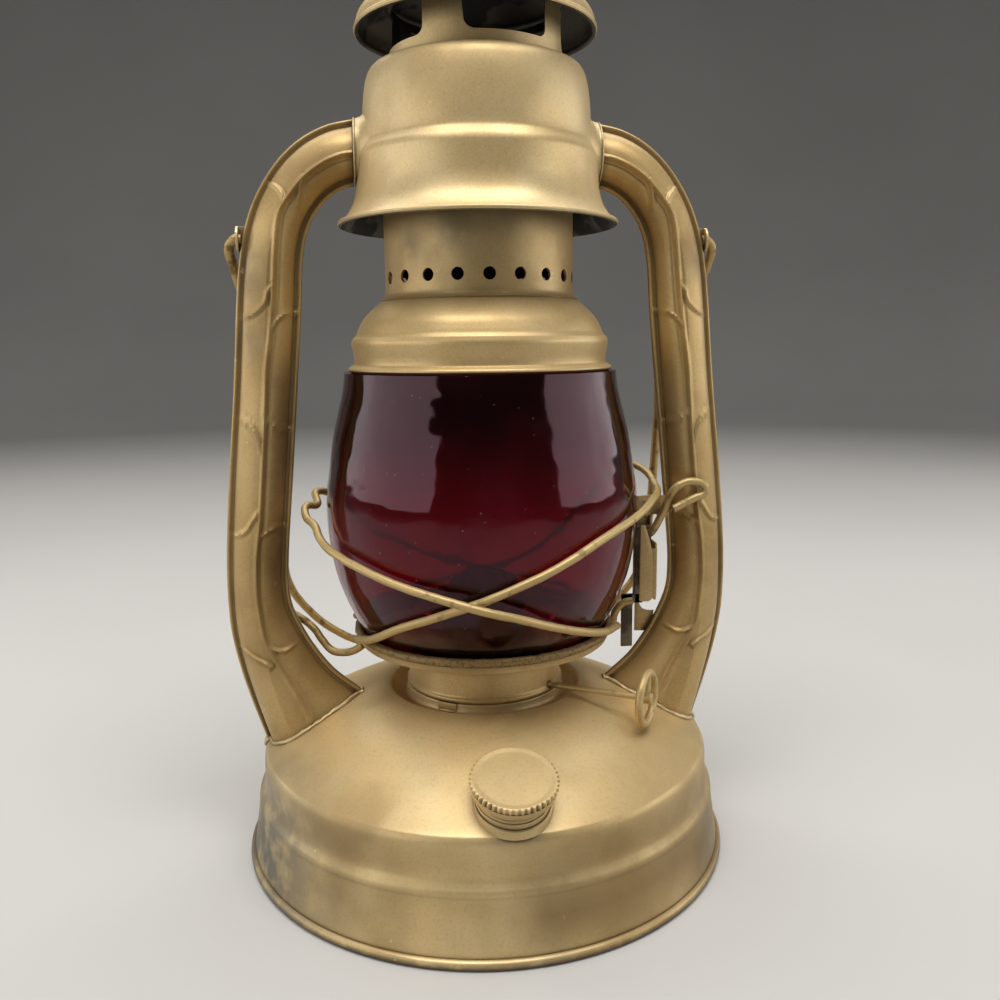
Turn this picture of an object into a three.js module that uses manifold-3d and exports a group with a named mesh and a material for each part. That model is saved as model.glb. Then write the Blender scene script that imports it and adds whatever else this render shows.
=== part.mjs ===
// Railroad lantern: a small cold-blast tubular lantern whose globe is raised by a finger lever.
// Millimetres, +Z up. The lantern stands on Z = 0 around the Z axis and its front faces -Y.

import * as THREE from 'three';
import { mergeVertices } from 'three/addons/utils/BufferGeometryUtils.js';
import Module from 'manifold-3d';

const wasm = await Module();
wasm.setup();

// Metal, wire and the clearances between pieces
const sheet = 0.8;
const gap = 0.3;
const guardWire = 1.35;
const overrun = 6;

// Facets of round work
const wideSides = 24;
const roundSides = 20;
const smallSides = 12;
const holeSides = 6;
const wireSides = 6;

// Fount: foot bead, flared skirt, ridge, wall, shoulder and dome
const footRadius = 85.7;
const footBead = 1.6;
const skirtFoot = 4.0;
const skirtFlare = 4.4;
const ridgeHeight = 22.8;
const ridgeStep = 1.8;
const shoulderInset = 6.7;
const shoulderHeight = 37.2;
const shoulderRound = 1.5;
const lipHeight = 56.5;
const domeBulge = 2.5;
const grooveWidth = 5.2;
const grooveDepth = 3.5;
const bottomHeight = 8.0;
const bottomFlange = 3.5;
const airHole = 6.0;
const airHoleInset = 13.0;

// Tank top and burner collar
const tankRimHeight = 31.0;
const tankFlange = 3.0;
const tankTopHeight = 40.2;
const collarWall = 2.2;
const collarFlange = 4.0;

// Filler: neck, threads, gasket and cap on one tilted axis
const fillerInset = 10.2;
const fillerSide = 0.7;
const fillerTilt = THREE.MathUtils.degToRad(17.5);
const neckRadius = 10.9;
const neckBelow = 9.0;
const neckAbove = 7.3;
const threadProud = 0.45;
const threadPitch = 1.6;
const gasketThickness = 1.0;
const capRadius = 13.4;
const capRim = 1.1;
const capSkirt = 3.2;
const capScallops = 16;
const capScallopDepth = 0.25;

// Burner: drum, deck, dome, wick and raiser
const drumRadius = 27.3;
const drumTop = 68.8;
const drumBead = 0.7;
const drumBeadHeight = 58.0;
const drumStep = 51.5;
const drumNeck = 16.4;
const drumBottom = 43.5;
const drumAirHole = 2.4;
const drumAirHoles = 6;
const deckHeight = 69.3;
const deckRise = 3.2;
const deckHole = 1.4;
const deckHoles = 8;
const flameDomeRadius = 15.6;
const flameDomeFoot = 69.5;
const flameDomeHeight = 28.7;
const flameSlotLength = 18.0;
const flameSlotWidth = 4.5;
const wickWidth = 15.2;
const wickThickness = 1.6;
const wickFoot = 21.0;
const wickProud = 1.5;
const wickTubeWall = 0.7;
const wickTubeRoom = 0.5;
const wickTubeFoot = 30.0;
const wickTubeTop = 90.0;
const burnerTurn = THREE.MathUtils.degToRad(-29.7);
const shaftRadius = 1.0;
const shaftHeight = 59.2;
const shaftBack = 8.0;
const shaftReach = 58.0;
const wheelTip = 4.2;
const wheelRoot = 3.1;
const wheelTeeth = 8;
const wheelThickness = 1.2;
const wheelSpacing = 4.0;
const knobRadius = 8.5;
const knobWire = 1.35;
const knobHub = 1.9;
const latchWidth = 8.0;
const latchThickness = 0.8;
const latchTurn = THREE.MathUtils.degToRad(-123.0);

// Globe and its carrier
const globeFoot = 75.0;
const globeHeight = 92.7;
const globeBelly = 54.2;
const globeWall = 2.2;
const plateRise = 4.0;
const plateRimHeight = 1.5;
const plateRimRoom = 2.4;
const plateHole = 1.6;
const plateHoles = 8;
const ringWire = 1.4;
const guardRise = 52.6;
const guardSpread = 6.0;
const guardEndAngle = 163.8;

// Bell, chimney and spring
const bellRadius = 43.5;
const bellHeight = 24.0;
const bellNeck = 2.5;
const chimneyRadius = 31.7;
const chimneyTop = 240.0;
const chimneyLip = 2.4;
const chimneyHoles = 20;
const chimneyHole = 2.0;
const chimneyHoleRise = 6.1;
const springWire = 0.8;
const springTurns = 3.5;
const springStepsPerTurn = 10;

// Hood, crown and top cap
const hoodRadius = 40.0;
const hoodRimHeight = 215.5;
const hoodHeight = 49.4;
const hoodMouth = 26.6;
const bossRadius = 11.2;
const bossBore = 7.6;
const bossReach = 40.6;
const guideLength = 31.0;
const crownRadius = 28.1;
const crownHeight = 19.4;
const crownWindows = 4;
const crownWindowTurn = THREE.MathUtils.degToRad(59);
const crownWindowAim = THREE.MathUtils.degToRad(-77);
const crownSill = 4.2;
const crownWindowHeight = 12.4;
const crownWindowCorner = 2.6;
const topRadius = 39.4;
const topDepth = 15.6;
const topSeatShare = 0.68;

// Side tubes
const tubeRoom = 35.1;
const portHeight = 238.8;
const tubeDepth = 8.6;
const tubeFlange = 2.2;

// Globe lift: arms, slide, channel, lug and lever
const armWire = 1.35;
const liftPlateWidth = 3.0;
const channelFoot = 72.0;
const channelTop = 121.0;
const channelFootRise = 3.3;
const channelStandoff = 0.65;
const channelDepth = 6.3;
const channelFront = 8.6;
const channelLegFoot = 84.7;
const channelLegTop = 111.8;
const slideTop = 111.4;
const slideThickness = 1.0;
const slideShelf = 2.6;
const crossbarRise = 7.6;
const slideCrossbarDepth = 3.5;
const slideTail = 65.5;
const slideTailWidth = 4.2;
const slideTailRoom = 4.5;
const leverWire = 1.4;
const leverPivotHeight = 116.3;
const leverPivotRoom = 2.7;
const leverArm = 8.6;
const leverLoop = 13.8;
const leverArmAngle = THREE.MathUtils.degToRad(-118);
const leverArmY = -4.9;
const leverLoopY = -11.5;
const leverBend = 1.7;
const lugFoot = 113.6;
const lugTop = 121.6;
const lugHole = 1.9;
const lugFold = 3.4;

// Bail and its ears
const bailWire = 1.65;
const bailPivotHeight = 211.5;
const bailPivotY = 0.5;
const bailDrop = 192.0;
const bailWaist = 71.0;
const bailArc = 83.0;
const bailBelly = 76.3;
const bailHookShare = 1.4;
const bailHole = 2.0;
const earWidth = 3.6;
const earRise = 4.2;
const earStandoff = 0.4;

const finishes = {
  paint: { color: 0xb39a63, roughness: 0.62, metalness: 0.35 },
  shadedPaint: { color: 0x8f7a4c, roughness: 0.68, metalness: 0.3 },
  wire: { color: 0xb8a67c, roughness: 0.6, metalness: 0.45 },
  rustyWire: { color: 0x8d7a58, roughness: 0.85, metalness: 0.3 },
  darkSteel: { color: 0x4d463a, roughness: 0.6, metalness: 0.7 },
  brass: { color: 0xa5843e, roughness: 0.4, metalness: 0.85 },
  ruby: { color: 0x7a1020, roughness: 0.08, metalness: 0.0 },
  cork: { color: 0x8a6a45, roughness: 0.95, metalness: 0.0 },
  cotton: { color: 0xd8cfb8, roughness: 1.0, metalness: 0.0 },
};

// Geometry helpers

function signedVolume(geometry) {
  const place = geometry.attributes.position;
  const index = geometry.index.array;
  const corner = [new THREE.Vector3(), new THREE.Vector3(), new THREE.Vector3()];
  let volume = 0;
  for (let i = 0; i < index.length; i += 3) {
    corner.forEach((vertex, k) => vertex.fromBufferAttribute(place, index[i + k]));
    volume += corner[0].dot(corner[1].clone().cross(corner[2]));
  }
  return volume;
}

// One closed mesh with shared vertices, no flat triangles and its faces pointing out.
function closed(geometry) {
  geometry.deleteAttribute('normal');
  geometry.deleteAttribute('uv');
  const merged = mergeVertices(geometry);
  const source = merged.index.array;
  const faces = [];
  for (let i = 0; i < source.length; i += 3) {
    const [a, b, c] = [source[i], source[i + 1], source[i + 2]];
    if (a !== b && b !== c && c !== a) faces.push(a, b, c);
  }
  merged.setIndex(faces);
  if (signedVolume(merged) < 0) {
    for (let i = 0; i < faces.length; i += 3) [faces[i + 1], faces[i + 2]] = [faces[i + 2], faces[i + 1]];
    merged.setIndex(faces);
  }
  return merged;
}

function solidOf(geometry) {
  return new wasm.Manifold(new wasm.Mesh({
    numProp: 3,
    vertProperties: new Float32Array(geometry.attributes.position.array),
    triVerts: new Uint32Array(geometry.index.array),
  }));
}

function fromSolid(solid) {
  const mesh = solid.getMesh();
  const geometry = new THREE.BufferGeometry();
  geometry.setAttribute('position', new THREE.BufferAttribute(new Float32Array(mesh.vertProperties), 3));
  geometry.setIndex(Array.from(mesh.triVerts));
  return geometry;
}

function cut(geometry, ...tools) {
  return fromSolid(tools.reduce((solid, tool) => solid.subtract(solidOf(tool)), solidOf(geometry)));
}

function joined(geometry, ...others) {
  return fromSolid(others.reduce((solid, other) => solid.add(solidOf(other)), solidOf(geometry)));
}

// A closed outline of [radius, height] points turned around the Z axis.
function turned(points, sides = roundSides) {
  const outline = points.map(([radius, height]) => new THREE.Vector2(radius, height));
  return closed(new THREE.LatheGeometry(outline, sides).rotateX(Math.PI / 2));
}

// The unit vector to the right of the way from one outline point to the next.
function rightOf(from, to) {
  const run = Math.hypot(to[0] - from[0], to[1] - from[1]);
  return [(to[1] - from[1]) / run, (from[0] - to[0]) / run];
}

// An open outline moved to its right by a distance, or to its left by a negative one.
function offset(points, distance) {
  const last = points.length - 1;
  return points.map((point, i) => {
    const a = i > 0 ? rightOf(points[i - 1], point) : rightOf(point, points[1]);
    const b = i < last ? rightOf(point, points[i + 1]) : a;
    const stretch = distance / (1 + a[0] * b[0] + a[1] * b[1]);
    const radius = point[0] === 0 ? 0 : point[0] + (a[0] + b[0]) * stretch;
    return [radius, point[1] + (a[1] + b[1]) * stretch];
  });
}

// The closed section of a sheet whose outer skin is given, going up and in. Its first points can be
// a solid bead, which has no inner skin.
function pressed(points, wall = sheet, beadPoints = 0) {
  return [...points, ...offset(points, -wall).slice(beadPoints).reverse(), points[0]];
}

// The section of a rolled edge with eight sides, from its inner side down, round and up.
function rolled(radius, height, size) {
  const corner = size / Math.cos(Math.PI / 8);
  return [4.5, 5.5, 6.5, 7.5, 8.5].map((step) => {
    const angle = (step * Math.PI) / 4;
    return [radius + corner * Math.cos(angle), height + corner * Math.sin(angle)];
  });
}

// The radius of an outline at a height, and the other way round.
function between(points, value, from, to) {
  for (let i = 1; i < points.length; i += 1) {
    const [a, b] = [points[i - 1], points[i]];
    const low = Math.min(a[from], b[from]);
    const high = Math.max(a[from], b[from]);
    if (value >= low && value <= high && high > low) {
      return a[to] + ((b[to] - a[to]) * (value - a[from])) / (b[from] - a[from]);
    }
  }
  const end = value < Math.min(points[0][from], points.at(-1)[from]) ? 'low' : 'high';
  const lowFirst = points[0][from] < points.at(-1)[from];
  return (end === 'low') === lowFirst ? points[0][to] : points.at(-1)[to];
}

const radiusAt = (points, height) => between(points, height, 1, 0);
const heightAt = (points, radius) => between(points, radius, 0, 1);

function slab(x, y, z) {
  const size = [x, y, z].map(([low, high]) => high - low);
  const box = new THREE.BoxGeometry(...size);
  return closed(box.translate((x[0] + x[1]) / 2, (y[0] + y[1]) / 2, (z[0] + z[1]) / 2));
}

// A rod of a given radius between two heights on the Z axis.
function rod(radius, low, high, sides = smallSides) {
  const cylinder = new THREE.CylinderGeometry(radius, radius, high - low, sides);
  return closed(cylinder.rotateX(Math.PI / 2).translate(0, 0, (low + high) / 2));
}

// A cutting rod whose flats, not its corners, lie at the given radius.
function bore(radius, low, high, sides = holeSides) {
  return rod(radius / Math.cos(Math.PI / sides), low, high, sides);
}

// An outline of [x, z] points given thickness from one Y to a greater one.
function plate(points, y) {
  const shape = new THREE.Shape(points.map(([x, z]) => new THREE.Vector2(x, z)));
  const block = new THREE.ExtrudeGeometry(shape, { depth: y[1] - y[0], bevelEnabled: false });
  return closed(block.rotateX(Math.PI / 2).translate(0, y[1], 0));
}

// A smooth curve that shares its steps out evenly among its points, so that tight bends keep theirs.
class BendCurve extends THREE.CatmullRomCurve3 {
  getPointAt(share, target) {
    return this.getPoint(share, target);
  }

  getTangentAt(share, target) {
    return this.getTangent(share, target);
  }
}

// Round wire through [x, y, z] points.
function wire(points, radius, stepsPerPoint = 2) {
  const section = [];
  for (let i = 0; i < wireSides; i += 1) {
    const angle = (i * 2 * Math.PI) / wireSides;
    section.push(new THREE.Vector2(radius * Math.cos(angle), radius * Math.sin(angle)));
  }
  const places = points.map((point) => new THREE.Vector3(...point));
  const path = new BendCurve(places, false, 'centripetal');
  const steps = stepsPerPoint * (points.length - 1);
  const options = { steps, extrudePath: path, bevelEnabled: false };
  return closed(new THREE.ExtrudeGeometry(new THREE.Shape(section), options));
}

// A box whose vertices are moved to where a map of their shares along its three sides says.
function bent(widthSteps, depthSteps, map) {
  const box = closed(new THREE.BoxGeometry(1, 1, 1, widthSteps, 1, depthSteps));
  const place = box.attributes.position;
  for (let i = 0; i < place.count; i += 1) {
    const share = [place.getX(i) + 1 / 2, place.getY(i) + 1 / 2, place.getZ(i) + 1 / 2];
    place.setXYZ(i, ...map(...share));
  }
  return closed(box);
}

function mirrored(geometry) {
  return closed(geometry.clone().scale(-1, 1, 1));
}

function add(parent, name, geometry, finish) {
  const mesh = new THREE.Mesh(geometry, new THREE.MeshStandardMaterial(finishes[finish]));
  mesh.name = name;
  parent.add(mesh);
  return mesh;
}

// Sizes that follow from the ones above

const ridgeRadius = footRadius - skirtFlare;
const shoulderRadius = footRadius - shoulderInset;
const airHoleReach = shoulderRadius - airHoleInset;
const fillerReach = shoulderRadius - fillerInset;
const domeMouth = drumRadius + 2 * drumBead + gap;
const lipRadius = domeMouth + grooveWidth;
const grooveFloor = lipHeight - grooveDepth;
const drumInside = drumRadius - sheet;
const collarBore = drumNeck + gap;
const neckHole = neckRadius + threadProud + gap;
const carrierSeat = drumTop + gap;

// Height of the dome's skin at a distance from the axis.
function domeHeight(radius) {
  const share = (shoulderRadius - radius) / (shoulderRadius - lipRadius);
  return shoulderHeight + (lipHeight - shoulderHeight) * share + 4 * domeBulge * share * (1 - share);
}

const domeStepShares = [0.04, 0.28, 0.52, 0.76, 1];
const domePoints = domeStepShares.map((share) => {
  const radius = shoulderRadius + (lipRadius - shoulderRadius) * share;
  return [radius, domeHeight(radius)];
});

const footBeadPoints = rolled(footRadius - footBead, footBead, footBead);
const wallRadius = shoulderRadius + shoulderRound / 4;
const wallPoints = [
  [footRadius - footBead, skirtFoot],
  [ridgeRadius, ridgeHeight - ridgeStep / 2],
  [ridgeRadius - ridgeStep / 3, ridgeHeight + ridgeStep / 3],
  [wallRadius, ridgeHeight + ridgeStep],
  [wallRadius, shoulderHeight - shoulderRound],
  [shoulderRadius, shoulderHeight],
];
const fountOutline = [
  ...footBeadPoints,
  ...wallPoints,
  ...domePoints,
  [lipRadius - gap, grooveFloor + sheet / 2],
  [lipRadius - gap - sheet / 2, grooveFloor],
  [domeMouth, grooveFloor],
];

// Globe outline: shares of the belly radius and of the height.
const globeShares = [
  [0.757, 0], [0.832, 0.078], [0.895, 0.156], [0.95, 0.248], [0.983, 0.345], [1, 0.453],
  [0.996, 0.565], [0.981, 0.62], [0.941, 0.771], [0.908, 0.852], [0.87, 0.945], [0.859, 1],
];
const globeOutline = globeShares.map(([r, h]) => [globeBelly * r, globeFoot + globeHeight * h]);
const globeFootRadius = globeOutline[0][0];
const globeTop = globeFoot + globeHeight;

const plateLedge = globeFoot - gap;
const plateRim = globeFootRadius + plateRimRoom + gap + sheet;
const plateRimTop = plateLedge + plateRimHeight;
const ringHeight = plateRimTop + gap + ringWire;
const ringRadius = plateRim + gap;
const ringSide = ringRadius + ringWire + gap;
const slideCrossbar = ringHeight + crossbarRise;

const bellFoot = globeTop + gap;
const bellTop = bellFoot + bellHeight;
const chimneyFoot = bellTop + gap;
const hoodTop = hoodRimHeight + hoodHeight;
const portReach = bossReach + gap;
const tubeReach = globeBelly + tubeRoom;
const crownFoot = hoodTop + gap;

// Hood outline: shares of the band radius and of the height from the rim to the flat top.
const hoodShares = [
  [1.165, 0], [1.1, 0.061], [1.045, 0.125], [1.0075, 0.233], [1, 0.334], [0.9925, 0.435],
  [0.9425, 0.506], [0.9375, 0.698], [0.9075, 0.91], [0.865, 0.98], [0.795, 1],
];
const hoodOutline = [
  ...hoodShares.map(([r, h]) => [hoodRadius * r, hoodRimHeight + hoodHeight * h]),
  [hoodMouth, hoodTop],
];

// Side tube stations from the port down to the foot: the outer edge's reach and height shares, the
// inner edge's, the depth share and how far the crest lies towards the outer edge.
const tubeStationShares = [
  [0, 1.051, 0, 0.949, 0.95, 0],
  [0.167, 1.042, 0.074, 0.944, 0.95, 0],
  [0.329, 1.023, 0.157, 0.9325, 0.95, 0],
  [0.467, 0.996, 0.229, 0.916, 0.95, 0],
  [0.576, 0.964, 0.287, 0.896, 0.95, 0],
  [0.676, 0.923, 0.331, 0.872, 0.95, 0],
  [0.752, 0.872, 0.357, 0.845, 0.96, 0],
  [0.793, 0.822, 0.374, 0.8125, 0.98, 0],
  [0.82, 0.768, 0.388, 0.763, 1, 0],
  [0.87, 0.634, 0.438, 0.634, 1, 0],
  [0.948, 0.46, 0.51, 0.46, 1, 0],
  [0.992, 0.336, 0.56, 0.341, 1, 0],
  [1, 0.272, 0.57, 0.292, 1.02, 0],
  [0.99, 0.207, 0.558, 0.252, 1.08, 0.05],
  [0.944, 0.143, 0.504, 0.215, 1.22, 0.1],
  [0.874, 0.078, 0.405, 0.17, 1.4, 0.2],
  [0.798, 0.019, 0.275, 0.127, 1.54, 0.3],
  [0.742, -0.026, 0.116, 0.093, 1.6, 0.3],
  [0.705, -0.056, -0.008, 0.0685, 1.6, 0.3],
];
const tubeX = (share) => portReach + (tubeReach - portReach) * share;
const tubeZ = (share) => shoulderHeight + (portHeight - shoulderHeight) * share;
const tubeStations = tubeStationShares.map(([outX, outZ, inX, inZ, depth, lean]) => ({
  outer: [tubeX(outX), tubeZ(outZ)],
  inner: [tubeX(inX), tubeZ(inZ)],
  depth: tubeDepth * depth,
  lean,
}));
const tubeOuter = tubeStations.map((station) => station.outer);
const tubeInner = tubeStations.map((station) => station.inner);
const seamFace = gap / 2 + sheet;

// Fount

function tiltedBore(radius, low, high) {
  return bore(radius, low, high, roundSides).rotateX(fillerTilt)
    .translate(fillerSide, -fillerReach, domeHeight(fillerReach));
}

function fountShell() {
  const shell = turned(pressed(fountOutline, sheet, footBeadPoints.length), wideSides);
  const holes = [-airHoleReach, airHoleReach].map((reach) => (
    rod(airHole, shoulderHeight, lipHeight).translate(reach, 0, 0)));
  return cut(shell, ...holes, tiltedBore(neckHole, -neckBelow, neckAbove));
}

function fountBottom() {
  const rim = radiusAt(wallPoints, bottomHeight) - sheet - gap;
  return turned([
    [0, bottomHeight], [0, bottomHeight - sheet], [rim - sheet, bottomHeight - sheet],
    [rim - sheet, bottomHeight - bottomFlange], [rim, bottomHeight - bottomFlange],
    [rim, bottomHeight], [0, bottomHeight],
  ], wideSides);
}

function tankTop() {
  const rim = wallRadius - sheet - gap;
  const seat = collarBore + collarWall + collarFlange;
  const dish = turned(pressed([
    [rim, tankRimHeight - tankFlange], [rim, tankRimHeight],
    [seat, tankTopHeight], [collarBore, tankTopHeight],
  ]), wideSides);
  return cut(dish, tiltedBore(neckHole, -2 * neckBelow, neckAbove));
}

function burnerCollar() {
  const foot = tankTopHeight + gap;
  const body = collarBore + collarWall;
  const top = drumStep - gap;
  return turned([
    [collarBore, foot], [body + collarFlange, foot], [body + collarFlange, foot + sheet],
    [body, foot + sheet], [body, top], [collarBore, top], [collarBore, foot],
  ]);
}

// Filler, modelled upright on its own axis and then tilted

function fillerNeck() {
  const inside = neckRadius - sheet;
  const points = [[inside, neckAbove], [inside, -neckBelow], [neckRadius, -neckBelow]];
  const firstThread = neckAbove - capSkirt - 5 * threadPitch / 2;
  for (let i = 0; i < 3; i += 1) {
    const crest = firstThread + (i + 1 / 2) * threadPitch;
    points.push([neckRadius, crest - threadPitch / 3]);
    points.push([neckRadius + threadProud, crest]);
    points.push([neckRadius, crest + threadPitch / 3]);
  }
  points.push([neckRadius, neckAbove], points[0]);
  return turned(points, smallSides);
}

function fillerGasket() {
  const low = neckAbove + gap;
  const out = neckRadius + threadProud;
  const inside = neckRadius - 2 * sheet;
  return turned([
    [inside, low], [out, low], [out, low + gasketThickness], [inside, low + gasketThickness], [inside, low],
  ]);
}

function fillerCap() {
  const ceiling = neckAbove + gap + gasketThickness + gap;
  const face = ceiling + sheet;
  const rimCentre = capRadius - capRim;
  const inside = neckRadius + threadProud + 2 * gap;
  const low = face + gap - 2 * capRim;
  const cap = turned([
    [0, ceiling], [inside, ceiling], [inside, low - capSkirt + capRim],
    [inside + sheet, low - capSkirt + capRim], [inside + sheet, low], [rimCentre + capRim / 2, low],
    [capRadius, low + capRim / 2], [capRadius, low + 3 * capRim / 2], [rimCentre + capRim / 2, face + gap],
    [rimCentre - capRim / 2, face + gap], [rimCentre - capRim, face], [0, face],
  ], 2 * capScallops);
  const place = cap.attributes.position;
  for (let i = 0; i < place.count; i += 1) {
    const [x, y] = [place.getX(i), place.getY(i)];
    const radius = Math.hypot(x, y);
    const valley = Math.round((Math.atan2(y, x) * capScallops) / Math.PI) % 2 !== 0;
    if (valley && radius > rimCentre) {
      place.setX(i, x * (1 - capScallopDepth / radius));
      place.setY(i, y * (1 - capScallopDepth / radius));
    }
  }
  return cap;
}

// Burner, modelled with its raiser shaft along X and then turned

const shaftOffset = -(wickThickness / 2 + gap + wheelTip);
const wickTubeLength = wickWidth + 2 * (wickTubeWall + gap);
const wickTubeDepth = wickThickness + 2 * (wickTubeWall + wickTubeRoom);

function along(geometry, low) {
  return geometry.rotateX(Math.PI / 2).rotateZ(Math.PI / 2).translate(low, 0, 0);
}

// A rod along X on the raiser shaft's axis.
function shaftRod(radius, low, high) {
  return rod(radius, low, high).rotateY(Math.PI / 2).translate(0, shaftOffset, shaftHeight);
}

function burnerDrum() {
  const drum = turned(pressed([
    [0, drumBottom], [drumNeck, drumBottom], [drumNeck, drumStep], [drumRadius, drumStep],
    [drumRadius, drumBeadHeight - 2 * drumBead], [drumRadius + drumBead, drumBeadHeight],
    [drumRadius, drumBeadHeight + 2 * drumBead], [drumRadius, drumTop],
  ]));
  const slot = slab(
    [-wickTubeLength / 2 - gap, wickTubeLength / 2 + gap],
    [-wickTubeDepth / 2 - gap, wickTubeDepth / 2 + gap],
    [drumBottom - overrun, drumBottom + overrun],
  );
  const shaftHole = bore(shaftRadius + gap, drumNeck, drumRadius + overrun)
    .rotateY(Math.PI / 2).translate(0, shaftOffset, shaftHeight);
  const airRing = (drumNeck + drumRadius) / 2;
  const airHoles = Array.from({ length: drumAirHoles }, (_, i) => (
    rod(drumAirHole, drumStep - sheet, drumStep + 2 * sheet, holeSides).translate(airRing, 0, 0)
      .rotateZ((2 * Math.PI * i) / drumAirHoles)));
  return cut(drum, slot, shaftHole, ...airHoles);
}

function ringOfHoles(count, radius, hole, low, high) {
  return Array.from({ length: count }, (_, i) => (
    rod(hole, low, high, holeSides).translate(radius, 0, 0).rotateZ((2 * Math.PI * (i + 1 / 2)) / count)));
}

function burnerDeck() {
  const rim = drumInside - gap;
  const mouth = flameDomeRadius + 2 * gap;
  const deck = turned(pressed([
    [rim, deckHeight - deckRise], [rim, deckHeight], [mouth, deckHeight + deckRise],
  ]));
  const low = deckHeight - 2 * sheet;
  return cut(deck, ...ringOfHoles(deckHoles, (rim + mouth) / 2, deckHole, low, deckHeight + overrun));
}

function burnerDome() {
  const shares = [[1, 0], [1, 0.3], [0.936, 0.575], [0.737, 0.82], [0.45, 0.958], [0, 1]];
  const points = shares.map(([r, h]) => [flameDomeRadius * r, flameDomeFoot + flameDomeHeight * h]);
  const top = flameDomeFoot + flameDomeHeight;
  const slot = slab(
    [-flameSlotLength / 2, flameSlotLength / 2],
    [-flameSlotWidth / 2, flameSlotWidth / 2],
    [top - overrun, top + overrun],
  );
  return cut(turned(pressed(points)), slot);
}

function wickTube() {
  const tube = slab(
    [-wickTubeLength / 2, wickTubeLength / 2],
    [-wickTubeDepth / 2, wickTubeDepth / 2],
    [wickTubeFoot, wickTubeTop],
  );
  const channel = slab(
    [wickTubeWall - wickTubeLength / 2, wickTubeLength / 2 - wickTubeWall],
    [wickTubeWall - wickTubeDepth / 2, wickTubeDepth / 2 - wickTubeWall],
    [wickTubeFoot - overrun, wickTubeTop + overrun],
  );
  const windows = [-wheelSpacing, wheelSpacing].map((place) => slab(
    [place - wheelThickness / 2 - gap, place + wheelThickness / 2 + gap],
    [-wickTubeDepth, 0],
    [shaftHeight - wheelTip, shaftHeight + wheelTip],
  ));
  return cut(tube, channel, ...windows);
}

function wick() {
  return slab(
    [-wickWidth / 2, wickWidth / 2],
    [-wickThickness / 2, wickThickness / 2],
    [wickFoot, wickTubeTop + wickProud],
  );
}

function wickWheel(place) {
  const shape = new THREE.Shape();
  for (let i = 0; i < 2 * wheelTeeth; i += 1) {
    const angle = (Math.PI * i) / wheelTeeth;
    const radius = i % 2 ? wheelRoot : wheelTip;
    const point = [radius * Math.cos(angle), radius * Math.sin(angle)];
    if (i === 0) shape.moveTo(...point);
    else shape.lineTo(...point);
  }
  const wheel = closed(new THREE.ExtrudeGeometry(shape, { depth: wheelThickness, bevelEnabled: false }));
  const bored = cut(wheel, bore(shaftRadius + gap, -overrun, overrun));
  return along(bored, place - wheelThickness / 2).translate(0, shaftOffset, shaftHeight);
}

function wickKnob() {
  const ring = closed(new THREE.TorusGeometry(knobRadius, knobWire, wireSides, roundSides));
  const spoke = rod(knobWire, -knobRadius, 0, wireSides).rotateX(Math.PI / 2);
  const hub = rod(knobHub, -knobHub, knobHub, smallSides);
  const knob = joined(ring, spoke, hub).rotateX(Math.PI / 2).rotateZ(Math.PI / 2);
  return knob.translate(shaftReach + gap + knobHub, shaftOffset, shaftHeight);
}

function latchTab() {
  const low = grooveFloor + gap;
  const reach = drumRadius + gap;
  const tab = slab(
    [reach, lipRadius - 3 * gap - sheet / 2],
    [-latchWidth / 2, latchWidth / 2],
    [low, low + latchThickness],
  );
  return cut(tab, rod(reach, low - overrun, low + overrun, wideSides)).rotateZ(latchTurn);
}

// Globe and its carrier

function globe() {
  return turned(pressed(globeOutline, globeWall), wideSides);
}

function globePlate() {
  const mouth = drumInside + sheet / 2;
  const top = carrierSeat + sheet;
  const ledge = globeFootRadius - globeWall - gap;
  const dish = turned([
    [mouth, carrierSeat], [mouth + plateRise, carrierSeat], [ledge, plateLedge - sheet],
    [plateRim, plateLedge - sheet], [plateRim, plateRimTop], [plateRim - sheet, plateRimTop],
    [plateRim - sheet, plateLedge], [ledge, plateLedge], [mouth + plateRise, top],
    [mouth, top], [mouth, carrierSeat],
  ]);
  const middle = (mouth + plateRise + ledge) / 2;
  const [low, high] = [carrierSeat - overrun, plateRimTop + overrun];
  return cut(dish, ...ringOfHoles(plateHoles, middle, plateHole, low, high));
}

function carrierRing() {
  const ring = new THREE.TorusGeometry(ringRadius, ringWire, wireSides, wideSides);
  return closed(ring.translate(0, 0, ringHeight));
}

// Guard hoops from the front end round the high side to the rear end: degrees from the high side,
// the height share and the share of the guard's spread off the globe.
const leftHoopShares = [
  [137.6, 0.08, 0.26], [111.5, 0.215, 0.27], [95.4, 0.327, 0.6], [82.9, 0.397, 0.66],
  [70.4, 0.46, 0.46], [57.2, 0.513, 0.31], [41.4, 0.582, 0.27], [27.2, 0.627, 0.29],
  [14, 0.686, 0.44], [7.6, 0.72, 0.75], [0, 0.812, 1], [-9.8, 0.89, 0.72], [-24, 0.82, 0.62],
  [-34, 0.648, 0.36], [-55, 0.405, 0.38], [-75, 0.23, 0.56], [-95, 0.125, 0.8],
  [-115, 0.068, 0.83], [-140, 0.03, 0.71],
];
const rightHoopShares = [
  [146.7, 0.07, 0.31], [128.1, 0.21, 0.06], [110.8, 0.33, 0.06], [97.2, 0.422, 0.07],
  [84.3, 0.517, 0.07], [71, 0.616, 0.08], [55.3, 0.732, 0.07], [31.3, 0.825, 0.27],
  [16.7, 0.875, 0.66], [7, 0.89, 1.05], [0, 0.915, 1.2], [-9.1, 0.985, 1.25], [-20, 1, 1],
  [-30, 0.84, 0.45], [-40, 0.61, 0.22], [-50, 0.42, 0.18], [-62, 0.26, 0.13],
  [-80, 0.145, 0.1], [-100, 0.087, 0.29], [-125, 0.046, 0.46], [-150, 0.015, 0.57],
];

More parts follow.
